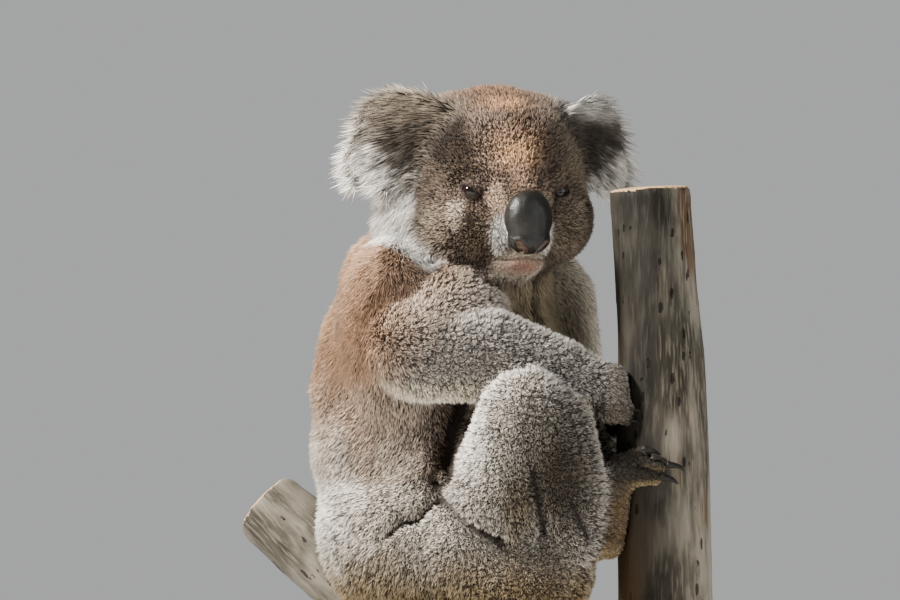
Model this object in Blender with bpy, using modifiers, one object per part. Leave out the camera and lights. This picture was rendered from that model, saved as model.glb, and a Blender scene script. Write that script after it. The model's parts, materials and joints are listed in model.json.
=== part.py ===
"""A koala sitting in the fork of a cut branch: a life-size still model, held by a plain display stand.

Metres, +Z up. The stand's underside lies on the floor with its middle at the origin. The koala's body
faces +X and a little towards -Y, and its head is turned to look out along -Y. The solids reach to the
tips of its coat.
"""

import math

import bmesh
import bpy
import numpy as np
from mathutils import Matrix, Vector

MM = 0.001
GAP = 0.0005  # between neighbours, so that no two pieces share any space

# The animal and its branch are laid out in millimetres from the seat point, above the stand's middle.
SEAT_HEIGHT = 0.275
SEAT = Matrix.Translation((0, 0, SEAT_HEIGHT)) @ Matrix.Scale(MM, 4)
BODY_HEADING = -30  # degrees from +X, anticlockwise seen from above
HEAD_HEADING = -72
TRUNK = SEAT @ Matrix.Translation((-46, 16, 0)) @ Matrix.Rotation(math.radians(BODY_HEADING), 4, "Z")
HEAD = SEAT @ Matrix.Translation((-2, -18, 332)) @ Matrix.Rotation(math.radians(HEAD_HEADING), 4, "Z")
SIDES = {"right": -1, "left": 1}  # the sign of the sideways axis in TRUNK and HEAD

# The upright stem: x, y, height and radius, bottom to top. The sloping limb: from its cut end to the crotch.
STEM = [
    (133, -57, -215, 43),
    (133, -56, -120, 41),
    (132.3, -55, 0, 38.7),
    (130.3, -54, 165, 35.4),
    (125.5, -53, 240, 33.6),
    (120, -52, 330, 32.4),
]
LIMB = [
    (-192, 88, 70, 31),
    (-146, 68, 30, 32),
    (-96, 46, -12, 33),
    (-44, 22, -52, 34.5),
    (10, -2, -86, 36.5),
    (62, -25, -118, 39),
    (104, -43, -156, 41),
    (128, -53, -198, 39),
]

FUR_GREY = (0.36, 0.31, 0.27)
FUR_BROWN = (0.38, 0.25, 0.17)
FUR_PALE = (0.72, 0.66, 0.56)
HORN = (0.05, 0.04, 0.035)
LEATHER = (0.07, 0.065, 0.065)
EYE = (0.06, 0.03, 0.015)
BARK = (0.40, 0.36, 0.28)
STAND = (0.06, 0.06, 0.065)


def clear_scene():
    for obj in list(bpy.data.objects):
        bpy.data.objects.remove(obj)


def material(name, colour, roughness, metallic=0.0):
    made = bpy.data.materials.new(name)
    made.use_nodes = True
    shader = made.node_tree.nodes["Principled BSDF"]
    shader.inputs["Base Color"].default_value = (*colour, 1)
    shader.inputs["Roughness"].default_value = roughness
    shader.inputs["Metallic"].default_value = metallic
    return made


def add_object(name, mesh, finish):
    obj = bpy.data.objects.new(name, mesh)
    KOALA.objects.link(obj)
    mesh.materials.clear()
    mesh.materials.append(finish)
    return obj


def bmesh_of(mesh):
    bm = bmesh.new()
    bm.from_mesh(mesh)
    return bm


def write_back(bm, mesh):
    bm.to_mesh(mesh)
    bm.free()


def apply_modifiers(obj):
    """The object's modifiers made permanent in its mesh."""
    bpy.context.view_layer.update()
    old = obj.data
    obj.data = bpy.data.meshes.new_from_object(obj.evaluated_get(bpy.context.evaluated_depsgraph_get()))
    obj.modifiers.clear()
    bpy.data.meshes.remove(old)


def keep_largest_body(obj):
    """Drops the crumbs that a cut leaves beside the piece, and the specks thinner than the gap."""
    bm = bmesh_of(obj.data)
    bmesh.ops.remove_doubles(bm, verts=bm.verts, dist=GAP)
    bmesh.ops.triangulate(bm, faces=bm.faces)
    unseen = set(bm.verts)
    bodies = []
    while unseen:
        body, edge_of_body = set(), [unseen.pop()]
        while edge_of_body:
            vert = edge_of_body.pop()
            body.add(vert)
            for edge in vert.link_edges:
                other = edge.other_vert(vert)
                if other in unseen:
                    unseen.remove(other)
                    edge_of_body.append(other)
        bodies.append(body)
    bodies.sort(key=len)
    for body in bodies[:-1]:
        bmesh.ops.delete(bm, geom=list(body), context="VERTS")
    bmesh.ops.dissolve_limit(bm, angle_limit=math.radians(0.2), verts=bm.verts, edges=bm.edges)
    bmesh.ops.triangulate(bm, faces=bm.faces)
    write_back(bm, obj.data)


def lump(place, centre, radii, pitch=0):
    """An ellipsoid along a place's own axes, tipped forwards by pitch degrees."""
    tip = Matrix.Rotation(math.radians(pitch), 4, "Y")
    matrix = place @ Matrix.Translation(centre) @ tip @ Matrix.Diagonal((*radii, 1))
    return lambda bm: bmesh.ops.create_uvsphere(bm, u_segments=24, v_segments=14, radius=1, matrix=matrix)


def run(place, *points):
    """A limb through (x, y, z, radius) points: a ball at each and a cone between each two."""

    def add(bm):
        for *centre, radius in points:
            lump(place, centre, (radius,) * 3)(bm)
        for (*a, start), (*b, end) in zip(points, points[1:]):
            along = Vector(b) - Vector(a)
            middle = Matrix.Translation((Vector(a) + Vector(b)) / 2)
            matrix = place @ middle @ along.to_track_quat("Z", "Y").to_matrix().to_4x4()
            bmesh.ops.create_cone(
                bm,
                cap_ends=True,
                segments=20,
                radius1=start,
                radius2=end,
                depth=along.length,
                matrix=matrix,
            )

    return add


def soft_form(name, finish, shapes, faces, voxel=4.0, smoothing=6):
    """Shapes melted into one body with a smooth surface of about that many triangles. The voxel is in mm."""
    bm = bmesh.new()
    for shape in shapes:
        shape(bm)
    mesh = bpy.data.meshes.new(name)
    write_back(bm, mesh)
    obj = add_object(name, mesh, finish)
    remesh = obj.modifiers.new("melt", "REMESH")
    remesh.mode = "VOXEL"
    remesh.voxel_size = voxel * MM
    smooth = obj.modifiers.new("smooth", "SMOOTH")
    smooth.factor = 0.5
    smooth.iterations = smoothing
    apply_modifiers(obj)
    thin = obj.modifiers.new("thin", "DECIMATE")
    thin.ratio = min(1.0, faces / (2 * len(obj.data.polygons)))
    thin.use_collapse_triangulate = True
    apply_modifiers(obj)
    keep_largest_body(obj)
    return obj


def carve(piece, *neighbours):
    """Cuts the neighbours out of a piece, with the gap around them."""
    for other in neighbours:
        cutter = bpy.data.objects.new("cutter", other.data.copy())
        CUTTERS.objects.link(cutter)
        cutter.hide_render = True
        cutter.display_type = "WIRE"
        swell = cutter.modifiers.new("gap", "DISPLACE")
        swell.strength = GAP
        swell.mid_level = 0
        cut = piece.modifiers.new("cut", "BOOLEAN")
        cut.operation = "DIFFERENCE"
        cut.object = cutter
        apply_modifiers(piece)
        keep_largest_body(piece)
        bpy.data.objects.remove(cutter)
    return piece


def part_at(piece, name, point, normal):
    """Cuts a piece in two at a plane. What lies ahead of the plane becomes a new piece of that name."""
    ahead = add_object(name, piece.data.copy(), piece.data.materials[0])
    for obj, facing in ((ahead, normal), (piece, -normal)):
        bm = bmesh_of(obj.data)
        bmesh.ops.bisect_plane(
            bm,
            geom=bm.verts[:] + bm.edges[:] + bm.faces[:],
            plane_co=point + facing * GAP / 2,
            plane_no=facing,
            clear_inner=True,
        )
        bmesh.ops.holes_fill(bm, edges=[edge for edge in bm.edges if edge.is_boundary])
        write_back(bm, obj.data)
        keep_largest_body(obj)
    return ahead


def tube(name, points, finish, sides):
    """A round branch or claw through (x, y, z, radius) points in millimetres from the seat point."""
    curve = bpy.data.curves.new(name, "CURVE")
    curve.dimensions = "3D"
    curve.bevel_depth = 1.0
    curve.bevel_resolution = sides // 2 - 2
    curve.use_fill_caps = True
    spline = curve.splines.new("POLY")
    spline.points.add(len(points) - 1)
    for point, (*centre, radius) in zip(spline.points, points):
        point.co = (*(SEAT @ Vector(centre)), 1)
        point.radius = radius * MM
    guide = bpy.data.objects.new(name + "_guide", curve)
    CUTTERS.objects.link(guide)
    bpy.context.view_layer.update()
    graph = bpy.context.evaluated_depsgraph_get()
    mesh = bpy.data.meshes.new_from_object(guide.evaluated_get(graph))
    bpy.data.objects.remove(guide)
    bm = bmesh_of(mesh)
    bmesh.ops.remove_doubles(bm, verts=bm.verts, dist=1e-6)
    bmesh.ops.recalc_face_normals(bm, faces=bm.faces)
    bmesh.ops.triangulate(bm, faces=bm.faces)
    write_back(bm, mesh)
    return add_object(name, mesh, finish)


def smooth_path(points, count):
    """Points along a smooth curve through (x, y, z, radius) points."""
    knots = np.array(points, float)
    slopes = np.gradient(knots, axis=0)
    path = []
    for t in np.linspace(0, len(knots) - 1, count):
        i = min(int(t), len(knots) - 2)
        u = t - i
        h = (2 * u**3 - 3 * u**2 + 1, u**3 - 2 * u**2 + u, 3 * u**2 - 2 * u**3, u**3 - u**2)
        path.append(h[0] * knots[i] + h[1] * slopes[i] + h[2] * knots[i + 1] + h[3] * slopes[i + 1])
    return path


def on_stem(azimuth, clearance, height):
    """The point this far outside the stem's bark, at an azimuth in degrees and a height."""
    x, y, radius = (np.interp(height, [p[2] for p in STEM], [p[i] for p in STEM]) for i in (0, 1, 3))
    angle = math.radians(azimuth)
    reach = radius + clearance
    return x + reach * math.cos(angle), y + reach * math.sin(angle), height


def digit(start, end, heights, radius):
    """A finger or toe that lies along the stem from one azimuth to another."""
    points = []
    for t in np.linspace(0, 1, 4):
        thickness = radius * (1 - 0.12 * t)
        azimuth = start + (end - start) * t
        height = heights[0] + (heights[1] - heights[0]) * t
        points.append((*on_stem(azimuth, thickness * 0.9, height), thickness))
    return run(SEAT, *points)


def claw(name, start, end, heights, length):
    """A curved claw that leaves the tip of a digit and hooks back into the bark."""
    sense = 1 if end > start else -1
    degrees = sense * math.degrees(length / 40)  # the reach over the bark's own radius
    rise = (heights[1] - heights[0]) * 0.3
    # Share of the way along, height off the bark, lift and radius. A foot's claws are thick and hook down.
    if "foot" in name:
        arch = ((-0.2, 5.5, 0, 3.6), (0.25, 8.5, 1.5, 3.2), (0.70, 7.0, -0.5, 2.2), (1.0, 0.8, -5.0, 0.5))
    else:
        arch = ((-0.2, 5.5, 0, 3.0), (0.25, 7.8, 0, 2.5), (0.65, 6.0, 0, 1.7), (1.0, 0.6, 0, 0.5))
    points = [
        (*on_stem(end + degrees * t, clearance, heights[1] + rise * t + lift), radius)
        for t, clearance, lift, radius in arch
    ]
    return tube(name, points, MATERIALS["claw"], 4)


# ---------------------------------------------------------------- start
clear_scene()
KOALA = bpy.data.collections.new("koala")
CUTTERS = bpy.data.collections.new("cutters")
for collection in (KOALA, CUTTERS):
    bpy.context.scene.collection.children.link(collection)
MATERIALS = {
    "fur_grey": material("fur_grey", FUR_GREY, 0.9),
    "fur_brown": material("fur_brown", FUR_BROWN, 0.9),
    "fur_pale": material("fur_pale", FUR_PALE, 0.9),
    "claw": material("claw", HORN, 0.35),
    "nose": material("nose", LEATHER, 0.5),
    "eye": material("eye", EYE, 0.08),
    "bark": material("bark", BARK, 0.7),
    "stand": material("stand", STAND, 0.45),
}

# ---------------------------------------------------------------- branch
stem = tube("perch_stem", smooth_path(STEM, 7), MATERIALS["bark"], 16)
limb = carve(tube("perch_limb", smooth_path(LIMB, 8), MATERIALS["bark"], 16), stem)

# ---------------------------------------------------------------- head
# Sizes here run forwards, to the animal's left and up, in millimetres from the middle of the head.
EYE_RADIUS = 9
EYE_AT = (43, 36, -5)
ORBIT_AT = (67, 42, -4)
ORBIT_RADII = (19, 15, 11)
EAR_AT = {"right": (-4, 84, 34), "left": (-4, 88, 30)}
EAR_TURN = 35  # degrees: how far an ear's open face turns outwards


def mirrored(place, side):
    """The same place on the animal's left or right side."""
    forward, sideways, upward = place
    return forward, sideways * SIDES[side], upward


eyes = {}
orbits = []
for side in SIDES:
    ball = [lump(HEAD, mirrored(EYE_AT, side), (EYE_RADIUS,) * 3)]
    eyes[side] = soft_form(f"eye_{side}", MATERIALS["eye"], ball, faces=90, voxel=1.0, smoothing=2)
    hollow = [lump(HEAD, mirrored(ORBIT_AT, side), ORBIT_RADII)]
    orbits.append(soft_form(f"orbit_{side}", MATERIALS["eye"], hollow, faces=100, voxel=2.0, smoothing=2))
nose_shapes = [
    lump(HEAD, (74, 1.5, -27), (15, 20, 23)),
    lump(HEAD, (73, 2, -43), (14, 18, 13)),
]
nose = soft_form("nose", MATERIALS["nose"], nose_shapes, faces=180, voxel=1.5, smoothing=3)
head_shapes = [
    lump(HEAD, (-8, 0, 8), (72, 76, 75)),  # cranium
    run(HEAD, (-6, -34, 49, 29), (-6, 34, 49, 29)),  # flat crown
    lump(HEAD, (24, 0, 34), (38, 54, 36)),  # brow
    run(HEAD, (46, 0, 14, 24), (60, 0, -14, 19)),  # bridge of the nose
    lump(HEAD, (48, 0, -32), (28, 31, 27)),  # muzzle
    lump(HEAD, (40, 0, -58), (31, 27, 21)),  # chin
    lump(HEAD, (14, 0, -46), (44, 50, 35)),  # jaw
    lump(HEAD, (18, 38, -26), (43, 37, 39)),  # cheeks
    lump(HEAD, (18, -38, -26), (43, 37, 39)),
]
head = soft_form("head", MATERIALS["fur_brown"], head_shapes, faces=640)
carve(head, *orbits, *eyes.values(), nose)
for orbit in orbits:
    bpy.data.objects.remove(orbit)

ears = {}
for side, s in SIDES.items():
    turn = Matrix.Rotation(math.radians(EAR_TURN * s), 4, "Z")
    place = HEAD @ Matrix.Translation(mirrored(EAR_AT[side], side)) @ turn
    ear_shapes = [
        lump(place, (-2, -2 * s, 7), (18, 46, 45)),
        lump(place, (-2, 17 * s, -12), (16, 36, 33)),
        lump(place, (-2, -24 * s, 20), (15, 32, 27)),  # the rim's root on the crown
        run(place, (0, 10 * s, -6, 14), (0, 37 * s, -31, 11)),  # the long hair of the lower rim
    ]
    ears[side] = soft_form(f"ear_{side}", MATERIALS["fur_grey"], ear_shapes, faces=180, voxel=3.0)
    dish = soft_form("dish", MATERIALS["fur_pale"], [lump(place, (26, -6 * s, -4), (15, 30, 32))], faces=80)
    carve(ears[side], dish, head)
    bpy.data.objects.remove(dish)

# ---------------------------------------------------------------- limbs
# Each point is x, y, height and radius in millimetres from the seat point.
THIGH = {
    "right": [(-20, -52, 48, 54), (8, -100, 102, 46), (20, -126, 150, 40)],
    "left": [(0, 60, 44, 52), (34, 64, 92, 46), (60, 50, 124, 38)],
}
BUTTOCK = {
    "right": (26, -62, 22, 52),
    "left": (34, 46, 20, 48),
}
SHIN = {
    "right": [(40, -120, 140, 36), (54, -105, 92, 32), (62, -88, 50, 23)],
    "left": [(70, 40, 122, 36), (78, 20, 86, 28), (86, -6, 50, 20)],
}
UPPER_ARM = {
    "right": [(-40, -56, 222, 50), (-64, -96, 200, 42), (-78, -58, 210, 46)],
    "left": [(34, 52, 238, 46), (45, 58, 192, 40)],
}
FOREARM = {
    "right": [(-60, -98, 196, 39), (-10, -90, 196, 40), (46, -82, 184, 29), (78, -77, 171, 22)],
    "left": [(40, 58, 186, 36), (62, 28, 172, 27), (82, -4, 168, 21)],
}
PALM = {
    "right": [(*on_stem(212, 15, 176), 16), (*on_stem(212, 15, 156), 16)],
    "left": [(*on_stem(142, 15, 172), 15), (*on_stem(142, 15, 152), 15)],
}
SOLE = {
    "right": [
        (62, -88, 52, 20),
        (*on_stem(204, 12, 46), 14),
        (*on_stem(212, 12, 78), 14),
        (*on_stem(222, 11, 106), 13),
    ],
    "left": [
        (86, -6, 52, 18),
        (*on_stem(128, 12, 46), 14),
        (*on_stem(122, 12, 78), 14),
        (*on_stem(116, 11, 106), 13),
    ],
}

# Each digit: azimuths on the stem where it starts and ends, heights there, radius, and claw length, which
# is 0 where it has none. Three fingers of a hand face two, and four clawed toes face a clawless one.
FINGERS = {
    "right": [
        (206, 182, (178, 180), 7.5, 15),
        (208, 180, (168, 169), 8.0, 16),
        (208, 184, (158, 157), 7.5, 15),
        (218, 226, (160, 154), 7.5, 9),
        (217, 224, (151, 145), 7.5, 9),
    ],
    "left": [
        (134, 100, (178, 180), 7.5, 15),
        (134, 94, (167, 168), 8.0, 16),
        (134, 98, (156, 155), 7.5, 15),
        (148, 166, (150, 146), 7.5, 13),
        (148, 164, (140, 135), 7.5, 13),
    ],
}
TOES = {
    "right": [
        (206, 182, (64, 60), 8.0, 0),
        (222, 243, (114, 120), 6.5, 15),
        (224, 252, (110, 113), 6.5, 16),
        (224, 266, (105, 108), 7.5, 20),
        (224, 260, (96, 98), 7.0, 18),
    ],
    "left": [
        (140, 164, (64, 60), 8.0, 0),
        (118, 96, (114, 120), 6.5, 15),
        (116, 88, (110, 113), 6.5, 16),
        (116, 74, (105, 108), 7.5, 20),
        (116, 80, (96, 98), 7.0, 18),
    ],
}


def limb_piece(name, side, shapes, faces):
    return soft_form(f"{name}_{side}", MATERIALS["fur_grey"], shapes, faces)


def paw(name, side, pad, digits, faces):
    """A hand or foot: its pad and all its digits, in one piece."""
    shapes = [run(SEAT, *pad)] + [digit(*bones[:4]) for bones in digits]
    return soft_form(f"{name}_{side}", MATERIALS["fur_grey"], shapes, faces, voxel=2.2, smoothing=3)


flesh = []
for side in SIDES:
    thigh_shapes = [run(SEAT, *THIGH[side]), run(SEAT, THIGH[side][0], BUTTOCK[side])]
    thigh = limb_piece("thigh", side, thigh_shapes, faces=250)
    shin = limb_piece("shin", side, [run(SEAT, *SHIN[side])], faces=150)
    upper_arm = limb_piece("upper_arm", side, [run(SEAT, *UPPER_ARM[side])], faces=160)
    forearm = limb_piece("forearm", side, [run(SEAT, *FOREARM[side])], faces=180)
    foot = paw("foot", side, SOLE[side], TOES[side], faces=230)
    hand = paw("hand", side, PALM[side], FINGERS[side], faces=215)
    carve(thigh, limb, stem, *flesh)
    carve(shin, thigh, stem, *flesh)
    carve(foot, stem, shin, thigh, *flesh)
    carve(upper_arm, head, ears[side], thigh, *flesh)
    carve(forearm, upper_arm, thigh, shin, stem, head, *flesh)
    carve(hand, stem, forearm, thigh, *flesh)
    flesh += [thigh, shin, foot, upper_arm, forearm, hand]
    for piece, digits in ((hand, FINGERS[side]), (foot, TOES[side])):
        for number, (start, end, heights, _, length) in enumerate(digits, 1):
            if length:
                nail = claw(f"claw_{piece.name}_{number}", start, end, heights, length)
                carve(nail, piece, stem)

# ---------------------------------------------------------------- trunk
BELLY_FROM = 92  # heights of the cuts between rump, belly and chest
CHEST_FROM = 176
NECK_FROM = (-40, 0, 268)
NECK_SLOPE = Vector((0.35, -0.1, 0.93)).normalized()
trunk_shapes = [
    lump(TRUNK, (9, 0, 52), (118, 101, 100)),  # rump
    lump(TRUNK, (0, 4, 118), (121, 90, 100)),  # belly
    lump(TRUNK, (-3, 3, 190), (112, 84, 96)),  # ribs
    lump(TRUNK, (4, -2, 246), (95, 80, 72)),  # shoulders
    lump(SEAT, (-84, -40, 216), (51, 66, 80)),  # shoulder blade of the reaching arm
    lump(SEAT, (-70, 38, 165), (88, 70, 75)),  # rounded back
    lump(SEAT, (-66, -8, 300), (39, 46, 40)),  # nape, under the ear
    run(SEAT, (-34, 6, 272, 70), (-6, -12, 325, 65)),  # neck
]
rump = soft_form("rump", MATERIALS["fur_brown"], trunk_shapes, faces=560, voxel=5.0, smoothing=12)
carve(rump, head, *ears.values(), stem, limb, *flesh)
UP = Vector((0, 0, 1))
belly = part_at(rump, "belly", SEAT @ (BELLY_FROM * UP), UP)
chest = part_at(belly, "chest", SEAT @ (CHEST_FROM * UP), UP)
part_at(chest, "neck", SEAT @ Vector(NECK_FROM), NECK_SLOPE)

# ---------------------------------------------------------------- stand
BASE_SIZE = (0.430, 0.340, 0.016)
BASE_CHAMFER = 0.004
ROD_RADIUS = 0.008
LIMB_ROD_TOP = (-84, 40, -22)  # on the limb's middle line, where the limb is cut out of it


def stand_piece(name):
    """The primitive just added, named, with its transform applied, and moved to the koala's collection."""
    made = bpy.context.object
    made.name = made.data.name = name
    bpy.ops.object.transform_apply(location=True, rotation=True, scale=True)
    made.data.materials.append(MATERIALS["stand"])
    for collection in made.users_collection:
        collection.objects.unlink(made)
    KOALA.objects.link(made)
    return made


def rod(name, foot_at, top):
    """An upright steel rod from just above the base."""
    bottom = BASE_SIZE[2] + GAP
    middle = (foot_at[0], foot_at[1], (top + bottom) / 2)
    bpy.ops.mesh.primitive_cylinder_add(vertices=12, radius=ROD_RADIUS, depth=top - bottom, location=middle)
    return stand_piece(name)


bpy.ops.mesh.primitive_cube_add(size=1, location=(0, 0, BASE_SIZE[2] / 2), scale=BASE_SIZE)
corners = stand_piece("stand_base").modifiers.new("corners", "BEVEL")
corners.width = BASE_CHAMFER
corners.segments = 1

stem_foot = SEAT @ Vector(STEM[0][:3])
rod("stand_rod_stem", stem_foot, stem_foot.z - GAP)
limb_middle = SEAT @ Vector(LIMB_ROD_TOP)
carve(rod("stand_rod_limb", limb_middle, limb_middle.z), limb)
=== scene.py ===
# A koala sitting in the fork of a cut gum branch, as a still museum model on a plain display stand.
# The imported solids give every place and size; this script gives them skin, coat, bark and finish.
import json
import math
import sys

import bmesh
import bpy
import mathutils.noise
import numpy as np
from mathutils import Matrix, Vector
from mathutils.bvhtree import BVHTree


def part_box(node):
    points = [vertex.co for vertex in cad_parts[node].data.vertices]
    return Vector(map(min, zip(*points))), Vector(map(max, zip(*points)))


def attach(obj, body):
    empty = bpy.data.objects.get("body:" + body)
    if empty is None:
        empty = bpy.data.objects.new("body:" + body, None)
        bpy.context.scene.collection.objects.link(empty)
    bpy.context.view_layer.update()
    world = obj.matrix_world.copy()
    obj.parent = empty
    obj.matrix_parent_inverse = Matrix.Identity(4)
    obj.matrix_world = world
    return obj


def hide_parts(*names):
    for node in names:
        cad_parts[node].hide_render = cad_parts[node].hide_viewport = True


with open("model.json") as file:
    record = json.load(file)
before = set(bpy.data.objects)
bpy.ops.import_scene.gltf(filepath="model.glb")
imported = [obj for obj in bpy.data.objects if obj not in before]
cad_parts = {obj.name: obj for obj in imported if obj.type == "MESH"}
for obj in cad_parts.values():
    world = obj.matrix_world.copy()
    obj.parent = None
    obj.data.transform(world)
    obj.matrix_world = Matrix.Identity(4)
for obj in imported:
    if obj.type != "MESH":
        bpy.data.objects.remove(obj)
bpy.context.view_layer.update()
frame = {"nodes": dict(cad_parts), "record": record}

# ---------------- camera, light and floor
# A long lens, level with the animal's chest, looks along +Y at its turned face. The light is a large soft key
# from the upper left, a weak fill from the right and a high one behind that catches the hair of the ears.
CAMERA_AT = (-0.040, -4.060, 0.515)
LENS = 200

camera = bpy.data.objects.new("camera", bpy.data.cameras.new("camera"))
camera.data.lens = LENS
camera.data.clip_end = 50
camera.location = CAMERA_AT
camera.rotation_euler = (math.pi / 2, 0, 0)
bpy.context.scene.collection.objects.link(camera)
bpy.context.scene.camera = camera

LIGHTS = {  # place, side, power, colour
    "key": ((-2.24, -1.06, 2.62), 0.5, 480, (1.0, 0.95, 0.88)),
    "fill": ((2.1, -1.8, 1.2), 1.6, 24, (0.96, 0.98, 1.0)),
    "back": ((-0.7, 1.9, 1.8), 0.9, 50, (1.0, 0.97, 0.92)),
}
CHEST_AT = (0, 0, 0.45)
for name, (at, side, power, colour) in LIGHTS.items():
    lamp = bpy.data.lights.new(name, "AREA")
    lamp.size = side
    lamp.energy = power
    lamp.color = colour
    light = bpy.data.objects.new(name, lamp)
    light.location = at
    light.rotation_euler = (Vector(CHEST_AT) - Vector(at)).to_track_quat("-Z", "Y").to_euler()
    bpy.context.scene.collection.objects.link(light)

world = bpy.data.worlds.new("studio")
world.use_nodes = True
# The room is paler than the light that it throws back, so that the shaded side stays dark.
WORLD_SEEN = 0.48
WORLD_LIGHT = 0.25
backdrop = world.node_tree.nodes["Background"]
backdrop.inputs["Color"].default_value = (0.92, 0.93, 0.94, 1)
room = world.node_tree.nodes.new("ShaderNodeMapRange")
room.inputs["To Min"].default_value = WORLD_LIGHT
room.inputs["To Max"].default_value = WORLD_SEEN
seen = world.node_tree.nodes.new("ShaderNodeLightPath")
world.node_tree.links.new(seen.outputs["Is Camera Ray"], room.inputs["Value"])
world.node_tree.links.new(room.outputs["Result"], backdrop.inputs["Strength"])
bpy.context.scene.world = world


def tint(colour):
    """The linear red, green and blue of a colour written as six hexadecimal digits."""
    parts = np.array([int(colour[i : i + 2], 16) / 255 for i in (0, 2, 4)])
    return np.where(parts <= 0.04045, parts / 12.92, ((parts + 0.055) / 1.055) ** 2.4)


def finish(name, **everywhere):
    """A new material and its Principled BSDF, with the settings that are the same all over."""
    made = bpy.data.materials.new(name)
    made.use_nodes = True
    surface = made.node_tree.nodes["Principled BSDF"]
    for setting, value in everywhere.items():
        surface.inputs[setting.replace("_", " ")].default_value = value
    return made, surface


FLOOR_SIDE = 3.8
FLOOR_BELOW = 0.0005
bpy.ops.mesh.primitive_plane_add(size=FLOOR_SIDE, location=(0, 0, -FLOOR_BELOW))
floor = bpy.context.object
floor.name = "floor"
floor.data.materials.append(finish("pale_floor", Roughness=0.8, Base_Color=(*tint("dcdbd8"), 1))[0])

# ---------------- skin
# One skin under the whole coat, from the flesh solids: they are swollen until they meet, melted into one
# surface, smoothed, and drawn in by the depth of the coat that each part of the body carries.

# The head's place and heading come from the eyes, so that a fold or a mark is put ahead, to the animal's left
# and above the middle of its head. Lengths are in metres.
HEAD_HEADING = math.radians(-72)
EYES_AHEAD = 0.042
EYES_BELOW = 0.003


def middle_of(*nodes):
    lows, highs = zip(*(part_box(node) for node in nodes))
    low = Vector(map(min, zip(*lows)))
    high = Vector(map(max, zip(*highs)))
    return (low + high) / 2


SIDES = {"right": -1, "left": 1}
EYES = {side: middle_of(f"eye_{side}") for side in SIDES}
HEAD_TURN = Matrix.Rotation(HEAD_HEADING, 3, "Z")
HEAD_AT = (EYES["right"] + EYES["left"]) / 2 - HEAD_TURN @ Vector((EYES_AHEAD, 0, -EYES_BELOW))


def in_head(points):
    """Points as they lie ahead, to the left and above."""
    return (np.asarray(points) - np.array(HEAD_AT)) @ np.array(HEAD_TURN)


AHEAD = np.array(HEAD_TURN)[:, 0]


def from_head(ahead, left, up):
    return HEAD_AT + HEAD_TURN @ Vector((ahead, left, up))


FLESH = [part["node"] for part in frame["record"]["subparts"] if part["material_slot"] == "coat"]
UNDER_SKIN = ["eye_right", "eye_left", "nose"]
SKIN_GRAIN = 0.0028  # side of the skin's cells
SWELL = 0.0012
SKIN_SMOOTHING = 14


def part_kind(node):
    return node.removesuffix("_right").removesuffix("_left")


def merged(node):
    """A copy of a solid's mesh with its loose triangles joined."""
    bm = bmesh.new()
    bm.from_mesh(frame["nodes"][node].data)
    bmesh.ops.remove_doubles(bm, verts=bm.verts, dist=1e-5)
    bm.normal_update()
    return bm


def read(items, field, width=3, kind=np.float32):
    found = np.empty(len(items) * width, kind)
    items.foreach_get(field, found)
    return found.reshape(-1, width)


def coords(mesh):
    return read(mesh.vertices, "co").astype(float)


def normals(mesh):
    return read(mesh.vertex_normals, "vector").astype(float)


def edges_of(mesh):
    return read(mesh.edges, "vertices", 2, np.int32)


def place_vertices(mesh, points):
    mesh.vertices.foreach_set("co", np.asarray(points, np.float32).ravel())
    mesh.update()


def add_piece(name, bm):
    """A piece made of a finished bmesh."""
    mesh = bpy.data.meshes.new(name)
    bm.to_mesh(mesh)
    bm.free()
    piece = bpy.data.objects.new(name, mesh)
    bpy.context.scene.collection.objects.link(piece)
    return piece


def settle(piece):
    """Makes the modifiers of a piece permanent."""
    bpy.context.view_layer.update()
    made = bpy.data.meshes.new_from_object(piece.evaluated_get(bpy.context.evaluated_depsgraph_get()))
    piece.modifiers.clear()
    piece.data = made
    made.name = piece.name
    return piece


# Rounds of averaging that soften the borders between one part of the body and the next.
BORDERS = {"part": 6, "wear": 8, "lie": 10, "tone": 14}


def spread(values, ends, rounds):
    """Each vertex's value averaged with its neighbours', as many times as asked."""
    values = np.array(values, float)
    flat = values.reshape(len(values), -1)
    count = np.bincount(ends.ravel(), minlength=len(values)).clip(1)[:, None]
    for _ in range(rounds):
        total = np.stack(
            [
                np.bincount(ends[:, 0], weights=column[ends[:, 1]], minlength=len(values))
                + np.bincount(ends[:, 1], weights=column[ends[:, 0]], minlength=len(values))
                for column in flat.T
            ],
            axis=1,
        )
        flat = (flat + total / count) / 2
    return flat.reshape(values.shape)


def largest_body(mesh):
    """Removes the bubbles that the melting may leave inside."""
    ends = edges_of(mesh)
    label = np.arange(len(mesh.vertices))
    while True:
        low = np.minimum(label[ends[:, 0]], label[ends[:, 1]])
        new = label.copy()
        np.minimum.at(new, ends[:, 0], low)
        np.minimum.at(new, ends[:, 1], low)
        new = new[new]
        if (new == label).all():
            break
        label = new
    keep = np.argmax(np.bincount(label))
    bm = bmesh.new()
    bm.from_mesh(mesh)
    bm.verts.ensure_lookup_table()
    bmesh.ops.delete(bm, geom=[bm.verts[i] for i in np.flatnonzero(label != keep)], context="VERTS")
    bm.to_mesh(mesh)
    bm.free()


SQUARE_ENOUGH = {"angle_face_threshold": 0.6, "angle_shape_threshold": 1.2}


def swollen(name, nodes, swell, squared=False):
    """One piece from copies of several solids, with triangles paired into squares where asked."""
    whole = bmesh.new()
    for node in nodes:
        body = merged(node)
        if squared:
            bmesh.ops.join_triangles(body, faces=body.faces, **SQUARE_ENOUGH)
        for vert in body.verts:
            vert.co += vert.normal * swell
        loose = bpy.data.meshes.new("loose")
        body.to_mesh(loose)
        body.free()
        whole.from_mesh(loose)
        bpy.data.meshes.remove(loose)
    return add_piece(name, whole)


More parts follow.
